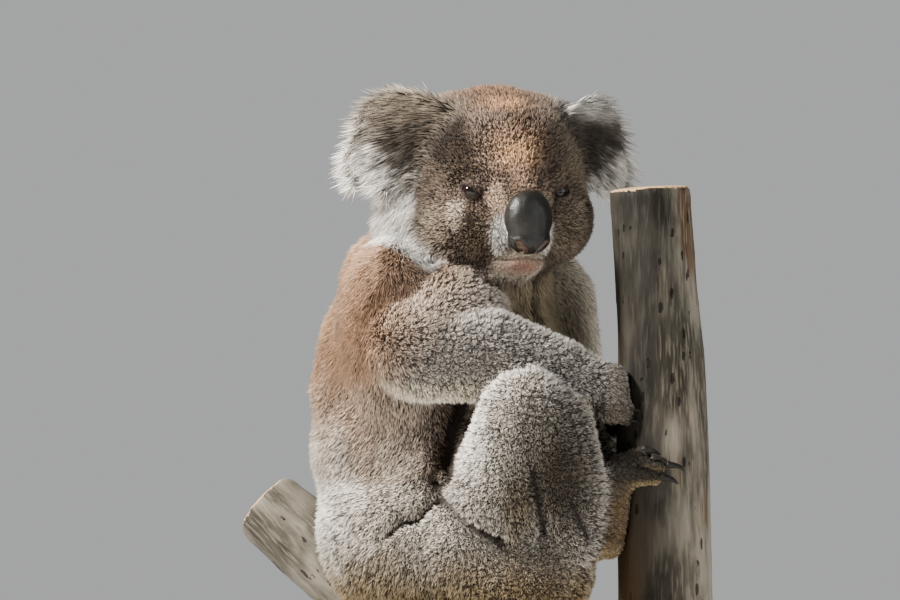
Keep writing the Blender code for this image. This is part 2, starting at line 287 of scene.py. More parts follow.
def melted(name, nodes, swell, grain, rounds):
    """One smooth closed piece from several solids."""
    piece = swollen(name, nodes, swell)
    melt = piece.modifiers.new("melt", "REMESH")
    melt.mode = "VOXEL"
    melt.voxel_size = grain
    soften = piece.modifiers.new("soften", "SMOOTH")
    soften.factor = 0.5
    soften.iterations = rounds
    settle(piece)
    largest_body(piece.data)
    return piece


skin = melted("skin", FLESH + UNDER_SKIN, SWELL, SKIN_GRAIN, SKIN_SMOOTHING)


NARROWING = 0.12


def refine(mesh, centre, radius, levels):
    """Halves the cells of a mesh round a place."""
    bm = bmesh.new()
    bm.from_mesh(mesh)
    for level in range(levels):
        reach = radius * (1 - NARROWING * level)
        near = {face for face in bm.faces if (face.calc_center_median() - centre).length < reach}
        edges = {edge for face in near for edge in face.edges}
        bmesh.ops.subdivide_edges(bm, edges=list(edges), cuts=1, use_grid_fill=True)
    bmesh.ops.triangulate(bm, faces=[face for face in bm.faces if len(face.verts) > 4])
    bm.to_mesh(mesh)
    bm.free()


EYE_ZONE = 0.015
MOUTH_ZONE = 0.030
MOUTH_AT = from_head(0.066, 0, -0.056)
for side in SIDES:
    refine(skin.data, EYES[side], EYE_ZONE, 2)
refine(skin.data, MOUTH_AT, MOUTH_ZONE, 1)

# How the coat is worn: how far the skin lies in from the outer form, the length and width of a tuft, how
# steeply it stands (degrees), how far tips are drawn into one lock, and the number on a square centimetre.
WEAR = {
    "head": (0.0040, 0.0044, 0.00088, 58, 0.40, 186),
    "neck": (0.008, 0.0125, 0.0012, 26, 0.25, 80),
    "chest": (0.007, 0.0100, 0.0012, 32, 0.30, 84),
    "belly": (0.007, 0.0074, 0.0013, 46, 0.40, 80),
    "rump": (0.006, 0.0062, 0.0013, 58, 0.40, 80),
    "ear": (0.008, 0.019, 0.0008, 9, 0.12, 82),
    "upper_arm": (0.0055, 0.0048, 0.00110, 76, 0.40, 128),
    "forearm": (0.0052, 0.0046, 0.00105, 74, 0.40, 128),
    "hand": (0.0024, 0.0030, 0.0009, 32, 0.30, 150),
    "thigh": (0.0055, 0.0050, 0.00118, 76, 0.40, 96),
    "shin": (0.0052, 0.0046, 0.00115, 72, 0.40, 96),
    "foot": (0.0022, 0.0028, 0.0009, 28, 0.30, 150),
}
DEPTH, LENGTH = range(2)

# Which solid each point of the skin came from.
corners, owners = [], []
for number, node in enumerate(FLESH):
    mesh = frame["nodes"][node].data
    mesh.calc_loop_triangles()
    places = [v.co for v in mesh.vertices]
    for triangle in mesh.loop_triangles:
        corners.extend(places[i] for i in triangle.vertices)
        owners.append(number)
solids = BVHTree.FromPolygons(corners, [(i, i + 1, i + 2) for i in range(0, len(corners), 3)])
owner = np.array([owners[solids.find_nearest(v.co)[2]] for v in skin.data.vertices])
KINDS = np.array([part_kind(node) for node in FLESH])
kind = KINDS[owner]
wear = np.array([WEAR[k] for k in KINDS])[owner]
ends = edges_of(skin.data)
wear = spread(wear, ends, BORDERS["wear"])


def soft_step(value, low, high):
    share = np.clip((value - low) / (high - low), 0, 1)
    return share * share * (3 - 2 * share)


def unit(rows):
    return rows / np.linalg.norm(rows, axis=1).clip(1e-9)[:, None]


def near(points, place, reach, edge=0.5):
    """1 within reach of a place, fading to 0 over the last part of it. reach may be three lengths."""
    far = np.linalg.norm((points - np.array(place)) / np.array(reach), axis=1)
    return 1 - soft_step(far, 1 - edge, 1)


# The shoulder runs into the back and the thigh into the hip with no step: the hollows are filled there.
FILLS = [  # place, reach
    ((-0.095, -0.070, 0.490), (0.085, 0.090, 0.095)),
    ((-0.060, -0.100, 0.365), (0.045, 0.070, 0.045)),
]
EXTRA_FILL = 0.002
MOST_CUT = 0.001
MOST_FILL = 0.012
LEVELLING = 700  # rounds of averaging that leave no hollow
LEVELLED_FACING = 60
skin_at = coords(skin.data)
skin_out = normals(skin.data)
smooth_at = spread(skin_at, ends, LEVELLING)
smooth_out = unit(spread(skin_out, ends, LEVELLED_FACING))
filled = np.sum((smooth_at - skin_at) * smooth_out, axis=1)
filled = np.clip(filled + EXTRA_FILL, -MOST_CUT, MOST_FILL) * sum(near(skin_at, *zone, 0.6) for zone in FILLS)
skin_at = skin_at + spread(smooth_out * filled[:, None], ends, 10)
place_vertices(skin.data, skin_at)

# The ears' long hair reaches past their skin, so the rims are drawn in towards the root.
EAR_DRAWN_IN = 0.008
DRAWN_FROM = (0.030, 0.080)  # the root, rising to the rim
EAR_ROOT = {side: from_head(-0.004, SIDES[side] * 0.058, 0.030) for side in SIDES}


def from_ear_root(points):
    """Each point's line from the nearer ear's root, and how long it is."""
    lines = np.stack([points - np.array(root) for root in EAR_ROOT.values()])
    far = np.linalg.norm(lines, axis=2)
    nearer = np.argmin(far, axis=0)
    row = np.arange(len(points))
    return lines[nearer, row], far[nearer, row]


ear_line, ear_far = from_ear_root(skin_at)
of_ear = spread((kind == "ear").astype(float), ends, BORDERS["part"])
drawn_in = EAR_DRAWN_IN * soft_step(ear_far, *DRAWN_FROM) * of_ear
skin_at -= unit(ear_line) * drawn_in[:, None]
place_vertices(skin.data, skin_at)

# The face has the shortest coat: it thins towards the nose and the eyes.
face_at = in_head(skin_at)
NOSE_AT = in_head([middle_of("nose")])[0]
EYE_AT = {side: in_head([EYES[side]])[0] for side in SIDES}
THINNER_ON_MUZZLE = 0.0018
ROUND_EYES = 0.0028
muzzle = near(face_at, NOSE_AT, 0.062, 0.75)
wear[:, DEPTH] -= THINNER_ON_MUZZLE * muzzle
for side in SIDES:
    socket = near(face_at, EYE_AT[side], 0.021, 0.4)
    wear[:, DEPTH] = wear[:, DEPTH] * (1 - socket) + ROUND_EYES * socket
# Soft swellings: a puff under the outer corner of each eye, a brow over it and a lip pad beside the nose.
# Straight under the eye the face is a little hollow.
SWELLINGS = {  # place ahead, to the side and up, reach, height
    "puff": ((0.044, 0.050, -0.020), (0.018, 0.011, 0.014), 0.0030),
    "brow": ((0.052, 0.036, 0.014), (0.020, 0.016, 0.009), 0.0020),
    "lip pad": ((0.062, 0.022, -0.046), (0.018, 0.012, 0.016), 0.0020),
    "under eye": ((0.054, 0.036, -0.020), (0.016, 0.008, 0.010), -0.0016),
}
rise = -wear[:, DEPTH]
for (ahead, left, up), reach, height in SWELLINGS.values():
    for side in SIDES.values():
        rise += height * near(face_at, (ahead, side * left, up), reach, 1.0)
place_vertices(skin.data, skin_at + normals(skin.data) * rise[:, None])

# ---------------- skin: lids
# Each eye lies behind a slanted slit between two thin bare-edged lids, modelled as part of the skin: the skin
# is wrapped over the eyeball, and inside the slit it is pushed behind the ball's surface.
LID_THICK = 0.0010
BEHIND_BALL = 0.0030
EYE_TURN = math.radians(33)  # how far each eye looks out to its side
SLIT = (0.0064, 0.0026, 0.0028)  # half its width, its height above and below the line between its corners
SLIT_SLANT = 0.38  # the inner corner is lower
LID_EDGE = (-0.0003, 0.0006)
LID_BLEND = (0.0035, 0.0095)
LID_REACH = 0.012  # past the ball
CREASE = (0.0007, 0.0030, 0.0009)  # its depth, its distance from the slit and its half width
FACING_OUT = 0.2
EYE_RADIUS = (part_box("eye_right")[1][2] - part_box("eye_right")[0][2]) / 2


def eye_axes(side):
    """The eye's outward line, the line towards its outer corner, and its upward line."""
    ahead = HEAD_TURN @ Vector((math.cos(EYE_TURN), SIDES[side] * math.sin(EYE_TURN), 0.05))
    ahead.normalize()
    up = (Vector((0, 0, 1)) - ahead * ahead.z).normalized()
    across = up.cross(ahead) * SIDES[side]
    return np.array(ahead), np.array(across), np.array(up)


def beyond_slit(across, up):
    """How far a point of the eye's front is outside the slit, or less than 0 inside it."""
    share = 1 - (across / SLIT[0]) ** 2
    level = up - SLIT_SLANT * across
    return np.maximum(level - SLIT[1] * share, -level - SLIT[2] * share)


def wrap_lids(points, side):
    """The points of the skin laid over one eyeball, and how near each is to the slit's edge."""
    ahead, across, up = eye_axes(side)
    away = points - np.array(EYES[side])
    far = np.linalg.norm(away, axis=1)
    line = away / far[:, None]
    front = (line @ ahead > FACING_OUT) & (far < EYE_RADIUS + LID_REACH)
    beyond = beyond_slit(line @ across * EYE_RADIUS, line @ up * EYE_RADIUS)
    lid = EYE_RADIUS + LID_THICK - (LID_THICK + BEHIND_BALL) * (1 - soft_step(beyond, *LID_EDGE))
    crease = CREASE[0] * np.exp(-(((beyond - CREASE[1]) / CREASE[2]) ** 2)) * (line @ up > 0)
    share = soft_step(beyond, *LID_BLEND)
    wrapped = (lid - crease) * (1 - share) + far * share
    points = np.where(front[:, None], np.array(EYES[side]) + line * wrapped[:, None], points)
    return points, np.where(front, beyond, 1.0)


skin_at = coords(skin.data)
slit_edge = np.full(len(skin_at), 1.0)
for side in SIDES:
    skin_at, beyond = wrap_lids(skin_at, side)
    slit_edge = np.minimum(slit_edge, beyond)
place_vertices(skin.data, skin_at)

# ---------------- skin: mouth and folds
# The lips meet in a shallow bow under the nose. Where the sitting body bends, the skin folds: across the
# flank, behind the knee and down the throat. Each is a line laid on the skin and pressed in.
LIPS = [(-0.026, -0.0566), (-0.013, -0.0580), (0, -0.0572), (0.013, -0.0580), (0.026, -0.0566)]
LIP_LINE = (0.0010, 0.0013)  # depth, half width
FOLDS = {  # depth, half width, places across and up the front
    "flank": (
        0.012,
        0.0066,
        [(-0.055, 0.372), (-0.048, 0.355), (-0.036, 0.342), (-0.022, 0.331), (0, 0.322)],
    ),
    "hip": (0.008, 0.0046, [(-0.05, 0.357), (-0.058, 0.35), (-0.066, 0.34), (-0.08, 0.337), (-0.09, 0.327)]),
    "waist": (0.003, 0.0022, [(-0.069, 0.374), (-0.064, 0.362)]),
    "calf": (0.005, 0.0042, [(0.025, 0.381), (0.030, 0.355), (0.034, 0.331)]),
    "shin": (0.003, 0.0035, [(0.056, 0.355), (0.062, 0.340), (0.069, 0.327)]),
    "throat": (0.006, 0.0045, [(0.028, 0.533), (0.026, 0.515), (0.029, 0.496)]),
    "groin": (0.013, 0.0095, [(-0.030, 0.432), (-0.040, 0.408), (-0.044, 0.388), (-0.042, 0.376)]),
    "shoulder": (0.003, 0.0030, [(-0.020, 0.534), (-0.010, 0.528), (0.000, 0.527)]),
    "upper toes": (0.003, 0.0020, [(0.106, 0.395), (0.119, 0.391), (0.131, 0.386)]),
    "lower toes": (0.003, 0.0020, [(0.108, 0.384), (0.121, 0.380), (0.133, 0.376)]),
}
BARE = (0.50, 0.90)  # shares of a fold's half width, bare of hair and fully haired


def surface_tree(piece):
    mesh = piece.data
    return BVHTree.FromPolygons([v.co for v in mesh.vertices], [p.vertices[:] for p in mesh.polygons])


def distance_to_path(points, path):
    """How far each point is from a line of straight stretches."""
    path = np.array(path, float)
    least = np.full(len(points), np.inf)
    for start, end in zip(path[:-1], path[1:]):
        along = end - start
        share = np.clip((points - start) @ along / (along @ along), 0, 1)
        least = np.minimum(least, np.linalg.norm(points - start - share[:, None] * along, axis=1))
    return least


def laid_on_front(tree, path, steps=5):
    """A line given across and up, thrown from the front onto the body."""
    path = np.array(path)
    shares = np.arange(steps)[:, None] / steps
    stretches = [start + (end - start) * shares for start, end in zip(path[:-1], path[1:])]
    line = np.concatenate([*stretches, path[-1:]])
    return [tree.ray_cast(Vector((x, -1, z)), Vector((0, 1, 0)))[0] for x, z in line]


def bump_over(far, half_width):
    """1 on a line, fading smoothly past its half width."""
    return np.exp(-((far / half_width) ** 2))


front_tree = surface_tree(skin)
sunk, fold, parting = np.zeros((3, len(skin_at)))
for depth, half_width, path in FOLDS.values():
    far = distance_to_path(skin_at, laid_on_front(front_tree, path))
    sunk = np.maximum(sunk, depth * bump_over(far, half_width))
    fold = np.maximum(fold, bump_over(far, 0.9 * half_width))
    parting = np.maximum(parting, 1 - soft_step(far, *(share * half_width for share in BARE)))
face_at = in_head(skin_at)
facing = soft_step(face_at[:, 0], 0.030, 0.040)
lip_line = bump_over(distance_to_path(face_at[:, 1:], LIPS), LIP_LINE[1]) * facing
sunk = np.maximum(sunk, LIP_LINE[0] * lip_line)
place_vertices(skin.data, skin_at - normals(skin.data) * sunk[:, None])

# ---------------- skin: markings
# The coat is ash grey ticked with brown: rusty on the crown and back, dark at the sides of the face and at
# the roots of the ears, white on the ruff and the ears' fringes, cream on the throat and arms, buff below.
# Painted shadow of the ears deepens the temples, and other painted light and painted shade are laid over
# these colours where noted.
UPRIGHT = np.array((0, 0, 1.0))
SEAT_AT = np.array((-0.046, 0.016, 0.275))  # in the fork
BELLY_HEADING = math.radians(-30)
BASE = {
    "head": "75655a",
    "neck": "a58d7a",
    "chest": "a48d7b",
    "belly": "bfb1a3",
    "rump": "dad1c5",
    "ear": "5f564b",
    "upper_arm": "e2d2c4",
    "forearm": "d2cac0",
    "hand": "a39b90",
    "thigh": "cfc7bc",
    "shin": "bdb5aa",
    "foot": "554f45",
}
# How uneven the colours of neighbouring tufts are.
TICKING = {"ear": 0.6, "neck": 0.3, "chest": 0.45, "head": 1.05, "hand": 0.7, "foot": 0.6}
USUAL_TICKING = 0.85

ends = edges_of(skin.data)
skin_at = coords(skin.data)
skin_out = normals(skin.data)
across, _, height = skin_at.T
face_at = in_head(skin_at)
ahead, left, above = face_at.T
tone = spread(np.array([tint(BASE[k]) for k in KINDS])[owner], ends, BORDERS["tone"])
ticking = spread(np.array([TICKING.get(k, USUAL_TICKING) for k in KINDS])[owner], ends, BORDERS["wear"])


def part_of(*nodes):
    """1 on these solids' share of the skin, with soft borders."""
    return spread(np.isin([*FLESH], nodes).astype(float)[owner], ends, BORDERS["part"])


def joined(*shares):
    return np.clip(sum(shares), 0, 1)


# Lays a colour over the skin's tone: a real marking, or painted light or painted shade where noted.
def dye_or_paint_light(share, colour, strength=1.0):
    share = np.clip(share * strength, 0, 1)[:, None]
    tone[:] = tone * (1 - share) + tint(colour) * share


def ripple(points, size, stretch, seed):
    """Smooth uneven heights, from -1 to 1, of a given size, drawn out upwards."""
    spots = points / size / (1, 1, stretch) + (seed, 0, 0)
    return np.array([mathutils.noise.noise(Vector(spot)) for spot in spots])


on_head = part_of("head")
on_ears = part_of("ear_right", "ear_left")
on_back = part_of("chest", "rump")
on_trunk = part_of("neck", "chest", "belly", "rump")
on_hands = part_of("hand_right", "hand_left")
on_legs = part_of("thigh_right", "thigh_left", "shin_right", "shin_left")
on_feet = part_of("foot_right", "foot_left")
near_arm = part_of("upper_arm_right")
far_arm = part_of("upper_arm_left")

# The trunk, from back to belly. No border between two colours is even.
frayed = 0.022 * ripple(skin_at, 0.020, 2.0, 5.0)
toward_belly = (skin_at - SEAT_AT) @ (math.cos(BELLY_HEADING), math.sin(BELLY_HEADING), 0)
upper_back = soft_step(height + frayed, 0.345, 0.475)
dye_or_paint_light(on_back * upper_back, BASE["chest"])
dye_or_paint_light(on_back * (1 - upper_back), BASE["rump"])
dye_or_paint_light(on_trunk * (1 - soft_step(height, 0.35, 0.44)) * soft_step(-across, 0.105, 0.130), "ece6dc", 0.95)
dye_or_paint_light(part_of("chest", "belly", "neck") * soft_step(toward_belly, 0.045, 0.085), "c8b698", 0.95)
seat = part_of("rump", "thigh_right", "thigh_left") * (1 - soft_step(height + 0.5 * frayed, 0.275, 0.335))
dye_or_paint_light(seat, "8f7a55", 0.9)

# The arms: cream inside and underneath, the hands dark below, and rust from the back over the shoulder.
on_arms = part_of("upper_arm_right", "forearm_right", "upper_arm_left", "forearm_left")
dye_or_paint_light(on_hands * (1 - soft_step(height, 0.426, 0.438)), "84796c", 0.85)
dye_or_paint_light(on_hands * (1 - soft_step(height, 0.414, 0.422)), "2c2822", 0.9)
dye_or_paint_light(on_arms * soft_step(-skin_out[:, 2], 0.35, 0.8), "fbf0da", 0.95)
dye_or_paint_light(far_arm * soft_step(-skin_out[:, 1], -0.2, 0.5), "fbf0da")
dye_or_paint_light(part_of("upper_arm_left", "forearm_left") * soft_step(skin_out[:, 1], -0.2, 0.4), "a8927e", 0.9)
# Painted highlight: the near shoulder's top, where the key light falls, is lightened.
dye_or_paint_light(near_arm * near(skin_at, (-0.075, -0.09, 0.510), (0.070, 0.08, 0.060), 0.9), "ecd0b8", 0.9)
dye_or_paint_light(near_arm * soft_step(-across, 0.055, 0.112) * soft_step(height, 0.43, 0.48), "bf9f86", 0.85)
rust = joined(on_trunk, near_arm) * soft_step(height + frayed, 0.335, 0.500)
dye_or_paint_light(rust * soft_step(-across, 0.050, 0.135), "ab8668", 0.95)

# Painted light on the upper thigh's left side. Beside the chin the shoulder is warm tan, with painted shade
# from the chin.
# Painted shade in the armpit, on the flank and over the knee's front, and below the knee painted shade tinged
# with the coat's own olive brown.
BODY_SHADE_AND_LIGHT = {  # part, place, reach, edge, colour, strength
    "shoulder": (near_arm, (-0.045, -0.10, 0.545), (0.055, 0.08, 0.036), 0.8, "a48a72", 0.9),
    "armpit": (on_trunk, (-0.035, -0.08, 0.425), (0.050, 0.10, 0.055), 0.9, "54463b", 0.85),
    "flank": (on_trunk, (-0.045, -0.08, 0.380), (0.030, 0.10, 0.050), 0.9, "6b5b4e", 0.7),
    "knee": (on_legs, (0.044, -0.140, 0.370), (0.050, 0.060, 0.100), 0.8, "51473a", 0.88),
    "lower thigh": (on_legs, (0.012, -0.140, 0.345), (0.022, 0.080, 0.050), 0.8, "776a52", 0.75),
    "upper thigh": (on_legs, (-0.022, -0.130, 0.408), (0.024, 0.080, 0.052), 0.7, "f6f1e8", 0.85),
}
for on, place, reach, edge, colour, strength in BODY_SHADE_AND_LIGHT.values():
    dye_or_paint_light(on * near(skin_at, place, reach, edge), colour, strength)
# Painted shade in the creases where the coat parts, and in the hollow of the groin between flank and thigh.
dye_or_paint_light(parting * part_of("rump", "belly", "thigh_right", "shin_right"), "2c231b", 0.7)
groin = near(skin_at, (-0.043, -0.085, 0.384), (0.020, 0.060, 0.034), 0.7)
dye_or_paint_light(joined(on_trunk, on_legs) * groin, "5d4d40", 0.85)
dye_or_paint_light(on_feet * (1 - soft_step(height, 0.350, 0.372)), "8d7458", 0.9)
dye_or_paint_light(on_feet * soft_step(-skin_out[:, 2], 0.1, 0.6), "b39f78", 0.85)

# The ruff: a white band round the head's lower edge, on the throat and under each ear.
from_face = np.linalg.norm(face_at, axis=1)
ruff = joined(part_of("neck"), part_of("chest") * soft_step(height, 0.50, 0.53))
ruff = ruff * soft_step(ahead, -0.045, -0.020) * (1 - soft_step(from_face, 0.100, 0.108))
ruff *= 1 - soft_step(across, -0.020, 0.010)
dye_or_paint_light(ruff, "fbf9f4")

# The head's marks, one over another. A mark on both sides is mirrored.
FACE_MARKS = {  # place ahead, to the side and above, reach, edge, colour, strength
    "crown": ((0.000, 0, 0.080), (0.080, 0.062, 0.060), 0.8, "6d5441", 1.0),
    "forehead": ((0.064, -0.004, 0.030), (0.030, 0.040, 0.032), 0.8, "c9a588", 0.95),
    "rusty forehead": ((0.064, -0.002, 0.026), (0.024, 0.022, 0.016), 0.9, "d6a67c", 0.8),
    "rusty crown": ((0.036, -0.004, 0.066), (0.022, 0.030, 0.014), 0.9, "b58a68", 0.8),
    "between them": ((0.052, 0.002, 0.052), (0.020, 0.016, 0.010), 0.9, "6d5847", 0.7),
    "bridge": ((0.066, 0, -0.004), (0.020, 0.016, 0.026), 0.8, "c4a68c", 0.85),
    "sides of the bridge": ((0.062, 0.0200, -0.014), (0.018, 0.008, 0.024), 0.6, "cfb49d", 0.85),
    "brows": ((0.044, 0.040, 0.014), (0.020, 0.014, 0.010), 0.6, "54462f", 0.8),
    # Painted shadow of the ears, over the temples and on over the eyes.
    "temples": ((0.028, 0.050, 0.037), (0.038, 0.022, 0.042), 0.6, "1f1812", 0.95),
    "over the eyes": ((0.046, 0.046, 0.026), (0.026, 0.016, 0.022), 0.6, "3a2e24", 0.85),
    "beside the eyes": ((0.040, 0.050, 0.008), (0.030, 0.020, 0.016), 0.6, "54483c", 0.8),
    "backs of the cheeks": ((0.020, 0.072, -0.005), (0.044, 0.022, 0.052), 0.6, "40362d", 0.85),
    "cheeks": ((0.036, 0.062, -0.030), (0.030, 0.016, 0.024), 0.6, "897b6b", 0.85),
    "puffs": ((0.051, 0.051, -0.021), (0.016, 0.0080, 0.018), 0.5, "cdbca9", 0.92),
    "under the eyes": ((0.055, 0.036, -0.038), (0.024, 0.012, 0.022), 0.6, "8d7e69", 0.97),
    "lip pads": ((0.066, 0.0200, -0.040), (0.018, 0.0088, 0.025), 0.6, "fdf8f2", 0.97),
    # Painted shade: a dark band along under each jaw.
    "jaws": ((0.034, 0.044, -0.062), (0.034, 0.026, 0.012), 0.6, "463a2e", 0.9),
    "chin": ((0.056, 0, -0.068), (0.036, 0.031, 0.027), 0.55, "e8dcc8", 0.96),
    "lip": ((0.064, 0.002, -0.0635), (0.030, 0.034, 0.0120), 0.95, "b58676", 0.95),
}
MIDDLE_MARKS = ("crown", "forehead", "rusty forehead", "rusty crown", "between them", "bridge", "chin", "lip")


def on_both_sides(place, reach, edge=0.6):
    """A pair of marks on the face, left and right."""
    places = [np.multiply(place, (1, side, 1)) for side in SIDES.values()]
    return np.maximum(*(near(face_at, at, reach, edge) for at in places))


dye_or_paint_light(on_head * (1 - soft_step(ahead, -0.060, -0.010)), "93806f", 0.85)
# The ears' painted shadow on the temples also darkens the ears' roots.
ear_shadow_on_temple = joined(on_head, on_ears) * on_both_sides(*FACE_MARKS["temples"][:3])
for mark, (place, reach, edge, colour, strength) in FACE_MARKS.items():
    if mark in MIDDLE_MARKS:
        dye_or_paint_light(on_head * near(face_at, place, reach, edge), colour, strength)
    elif mark == "temples":
        dye_or_paint_light(ear_shadow_on_temple, colour, strength)
    else:
        dye_or_paint_light(on_head * on_both_sides(place, reach, edge), colour, strength)
# Painted light: the side of the face turned from the key light is lightened.
dye_or_paint_light(on_head * soft_step(left, 0.020, 0.050) * soft_step(ahead, -0.02, 0.02), "a3937e", 0.75)

# The ears: dark roots and dish, pale rims.
ear_line, ear_far = from_ear_root(skin_at)
dish = on_ears * soft_step(skin_out @ AHEAD, -0.30, 0.15)
dye_or_paint_light(on_ears, "7d7265", 0.7)
dye_or_paint_light(dish, BASE["ear"])
dye_or_paint_light(dish * (1 - soft_step(ear_far, 0.018, 0.046)), "241e18", 0.95)
dye_or_paint_light(on_ears * soft_step(ear_far, 0.040, 0.064), "9a9284", 0.6)
dye_or_paint_light(part_of("ear_left") * near(skin_at, (0.062, 0.02, 0.668), (0.034, 0.08, 0.013), 0.7), "e9e5dd", 0.85)
# Strands of different greys run out from the root, and white ones reach into the dark.
EAR_STRANDS = 9
strands = ripple(unit(ear_line), 1 / EAR_STRANDS, 1.0, 0.0)
low_rim = soft_step(ear_far - 0.80 * (above - 0.030) + 0.020 * strands, 0.026, 0.060)
dye_or_paint_light(on_ears * low_rim, "f4f1eb", 0.95)
tone *= 1 + (on_ears * (0.7 - 0.3 * low_rim) * np.clip(1.5 * strands, -1, 1))[:, None]

# Bare edges of the lids with a dark line on from the inner corner, and painted shade in the folds and along
# the mouth's line.
EYE_CORNER = [(0.034, -0.006), (0.029, -0.011), (0.026, -0.018)]
CORNER_WIDTH = 0.0022
for side in SIDES.values():
    far = distance_to_path(face_at[:, 1:], [(side * x, z) for x, z in EYE_CORNER])
    dye_or_paint_light(bump_over(far, CORNER_WIDTH) * soft_step(ahead, 0.03, 0.04), "3d322a", 0.8)
dye_or_paint_light(1 - soft_step(slit_edge, 0.0006, 0.0022), "1d1713")
dye_or_paint_light(0.95 * fold, "231b15")
dye_or_paint_light(0.7 * lip_line, "5f4235")

# ---------------- skin: lie of the coat
# Hair lies away from the nose over the face and crown, outwards over the ears, down the back and sides, and
# along each limb to its toes.
ALONG = {
    "upper_arm": ("upper_arm", "forearm"),
    "forearm": ("forearm", "hand"),
    "hand": ("forearm", "hand"),
    "shin": ("thigh", "foot"),
    "foot": ("shin", "foot"),
}


def lie_of(node):
    limb = part_kind(node)
    if limb not in ALONG:
        return -UPRIGHT
    start, end = (middle_of(part + node[len(limb) :]) for part in ALONG[limb])
    return np.array((end - start).normalized())


FACE_PARTING = NOSE_AT + np.array((-0.035, 0, 0.004))
INSIDE_HEAD = {side: np.array(from_head(0, SIDES[side] * 0.018, 0.042)) for side in SIDES}
lie = np.array([lie_of(node) for node in FLESH])[owner]
from_nose = unit(face_at - FACE_PARTING) @ np.array(HEAD_TURN).T
from_nose[:, 2] -= 1.2 * (1 - soft_step(ahead, -0.05, 0.0))
lie = np.where((kind == "head")[:, None], unit(from_nose), lie)
for side in SIDES:
    outward = unit(skin_at - INSIDE_HEAD[side]) - 0.22 * UPRIGHT
    lie = np.where((owner == FLESH.index(f"ear_{side}"))[:, None], outward, lie)
lie = spread(lie, ends, BORDERS["lie"])
lie = unit(lie - np.sum(lie * skin_out, axis=1)[:, None] * skin_out)

# The long coat of the back runs on over the near shoulder, and covers the far upper arm.
CHEST_WEAR = np.array(WEAR["chest"])
RUMP_WEAR = np.array(WEAR["rump"])
wear = spread(np.array([WEAR[k] for k in KINDS])[owner], ends, BORDERS["wear"])
share = upper_back[:, None]
wear += on_back[:, None] * (share * CHEST_WEAR + (1 - share) * RUMP_WEAR - wear)
ticking += on_back * (upper_back * TICKING["chest"] + (1 - upper_back) * USUAL_TICKING - ticking)
long_on_arms = np.maximum(near_arm * soft_step(-across, 0.030, 0.105), far_arm)
wear += long_on_arms[:, None] * (CHEST_WEAR - wear)
length, width, stand, lock, crowd = wear[:, LENGTH:].T.copy()
stand = np.radians(stand)

# Hair is short on the face, and longest on the ears' rims and below them.
short = near(face_at, NOSE_AT, (0.040, 0.045, 0.055), 0.9)
for side in SIDES:
    short = np.maximum(short, near(face_at, EYE_AT[side], 0.020, 0.7))
length *= 1 - 0.62 * short
width *= 1 - 0.35 * short
crowd *= 1 + 0.9 * short
ear_share = soft_step(ear_far, 0.026, 0.062) * on_ears
length *= 1 - on_ears * 0.15 + 0.40 * ear_share
length += 0.006 * ruff

# Nothing grows where the body lies against itself or the branch, on the lids' edges or in the deep folds.
REACH_OUT = 0.006
ABOVE_SKIN = 0.001
BELOW_SKIN = 0.002
skin_tree = surface_tree(skin)
blocks = [surface_tree(frame["nodes"][node]) for node in ("perch_stem", "perch_limb", "nose")]
covered = np.zeros(len(skin_at))
for i, (place, out) in enumerate(zip(skin_at, skin_out)):
    place, out = Vector(place), Vector(out)
    covered[i] = bool(
        skin_tree.ray_cast(place + out * ABOVE_SKIN, out, REACH_OUT)[0]
        or any(tree.ray_cast(place - out * BELOW_SKIN, out, REACH_OUT)[0] for tree in blocks)
    )
covered = spread(covered, ends, 2)
crowd *= 1 - soft_step(covered, 0.3, 0.8)
crowd *= soft_step(slit_edge, 0.0008, 0.0020)
crowd *= 1 - parting
length *= 1 - 0.5 * fold
# Wider, sparser tufts at the back, and fine even ones on the chin, the lip and the sides of the muzzle.
behind = soft_step(skin_out[:, 1], 0.1, 0.6)
crowd *= 1 - 0.38 * behind
width *= 1 + 0.22 * behind
lip = near(face_at, (0.064, 0.002, -0.0635), (0.030, 0.034, 0.0125), 0.6)
chin = near(face_at, (0.060, 0, -0.066), (0.034, 0.040, 0.026), 0.7)
length *= (1 - 0.50 * chin) * (1 - 0.45 * lip)
width *= 1 - 0.25 * chin
ticking *= (1 - 0.55 * chin) * (1 - 0.8 * lip)
pale_side = on_both_sides((0.066, 0.0225, -0.030), (0.022, 0.013, 0.034))
ticking *= (1 - 0.45 * pale_side) * (1 - 0.4 * ear_shadow_on_temple)

PER_VERTEX = {
    "tone": ("FLOAT_COLOR", np.column_stack([tone, np.ones(len(tone))])),
    "lie": ("FLOAT_VECTOR", lie),
    "long": ("FLOAT", length),
    "wide": ("FLOAT", width),
    "stand": ("FLOAT", stand),
    "lock": ("FLOAT", lock),
    "crowd": ("FLOAT", crowd),
    "ticking": ("FLOAT", ticking),
}


def store(mesh, name, kind, values):
    layer = mesh.attributes.new(name, kind, "POINT")
    field = {"FLOAT": "value", "FLOAT_VECTOR": "vector", "FLOAT_COLOR": "color"}[kind]
    layer.data.foreach_set(field, np.asarray(values, np.float32).ravel())


for name, (layer_kind, values) in PER_VERTEX.items():
    store(skin.data, name, layer_kind, values)

# ---------------- skin: finish, and finish of the hair
# Hair is dark at the root and pale at the tip, and no two tufts are quite alike. The skin between them is the
# same colour, darkened as painted shade under the coat, and finely grained.


def add(tree, kind, inputs=None, **settings):
    """A node with its settings and its inputs, each a value or the output that feeds it."""
    made = tree.nodes.new(kind)
    for name, value in settings.items():
        setattr(made, name, value)
    for name, value in (inputs or {}).items():
        if isinstance(value, bpy.types.NodeSocket):
            tree.links.new(value, made.inputs[name])
        else:
            made.inputs[name].default_value = value
    return made


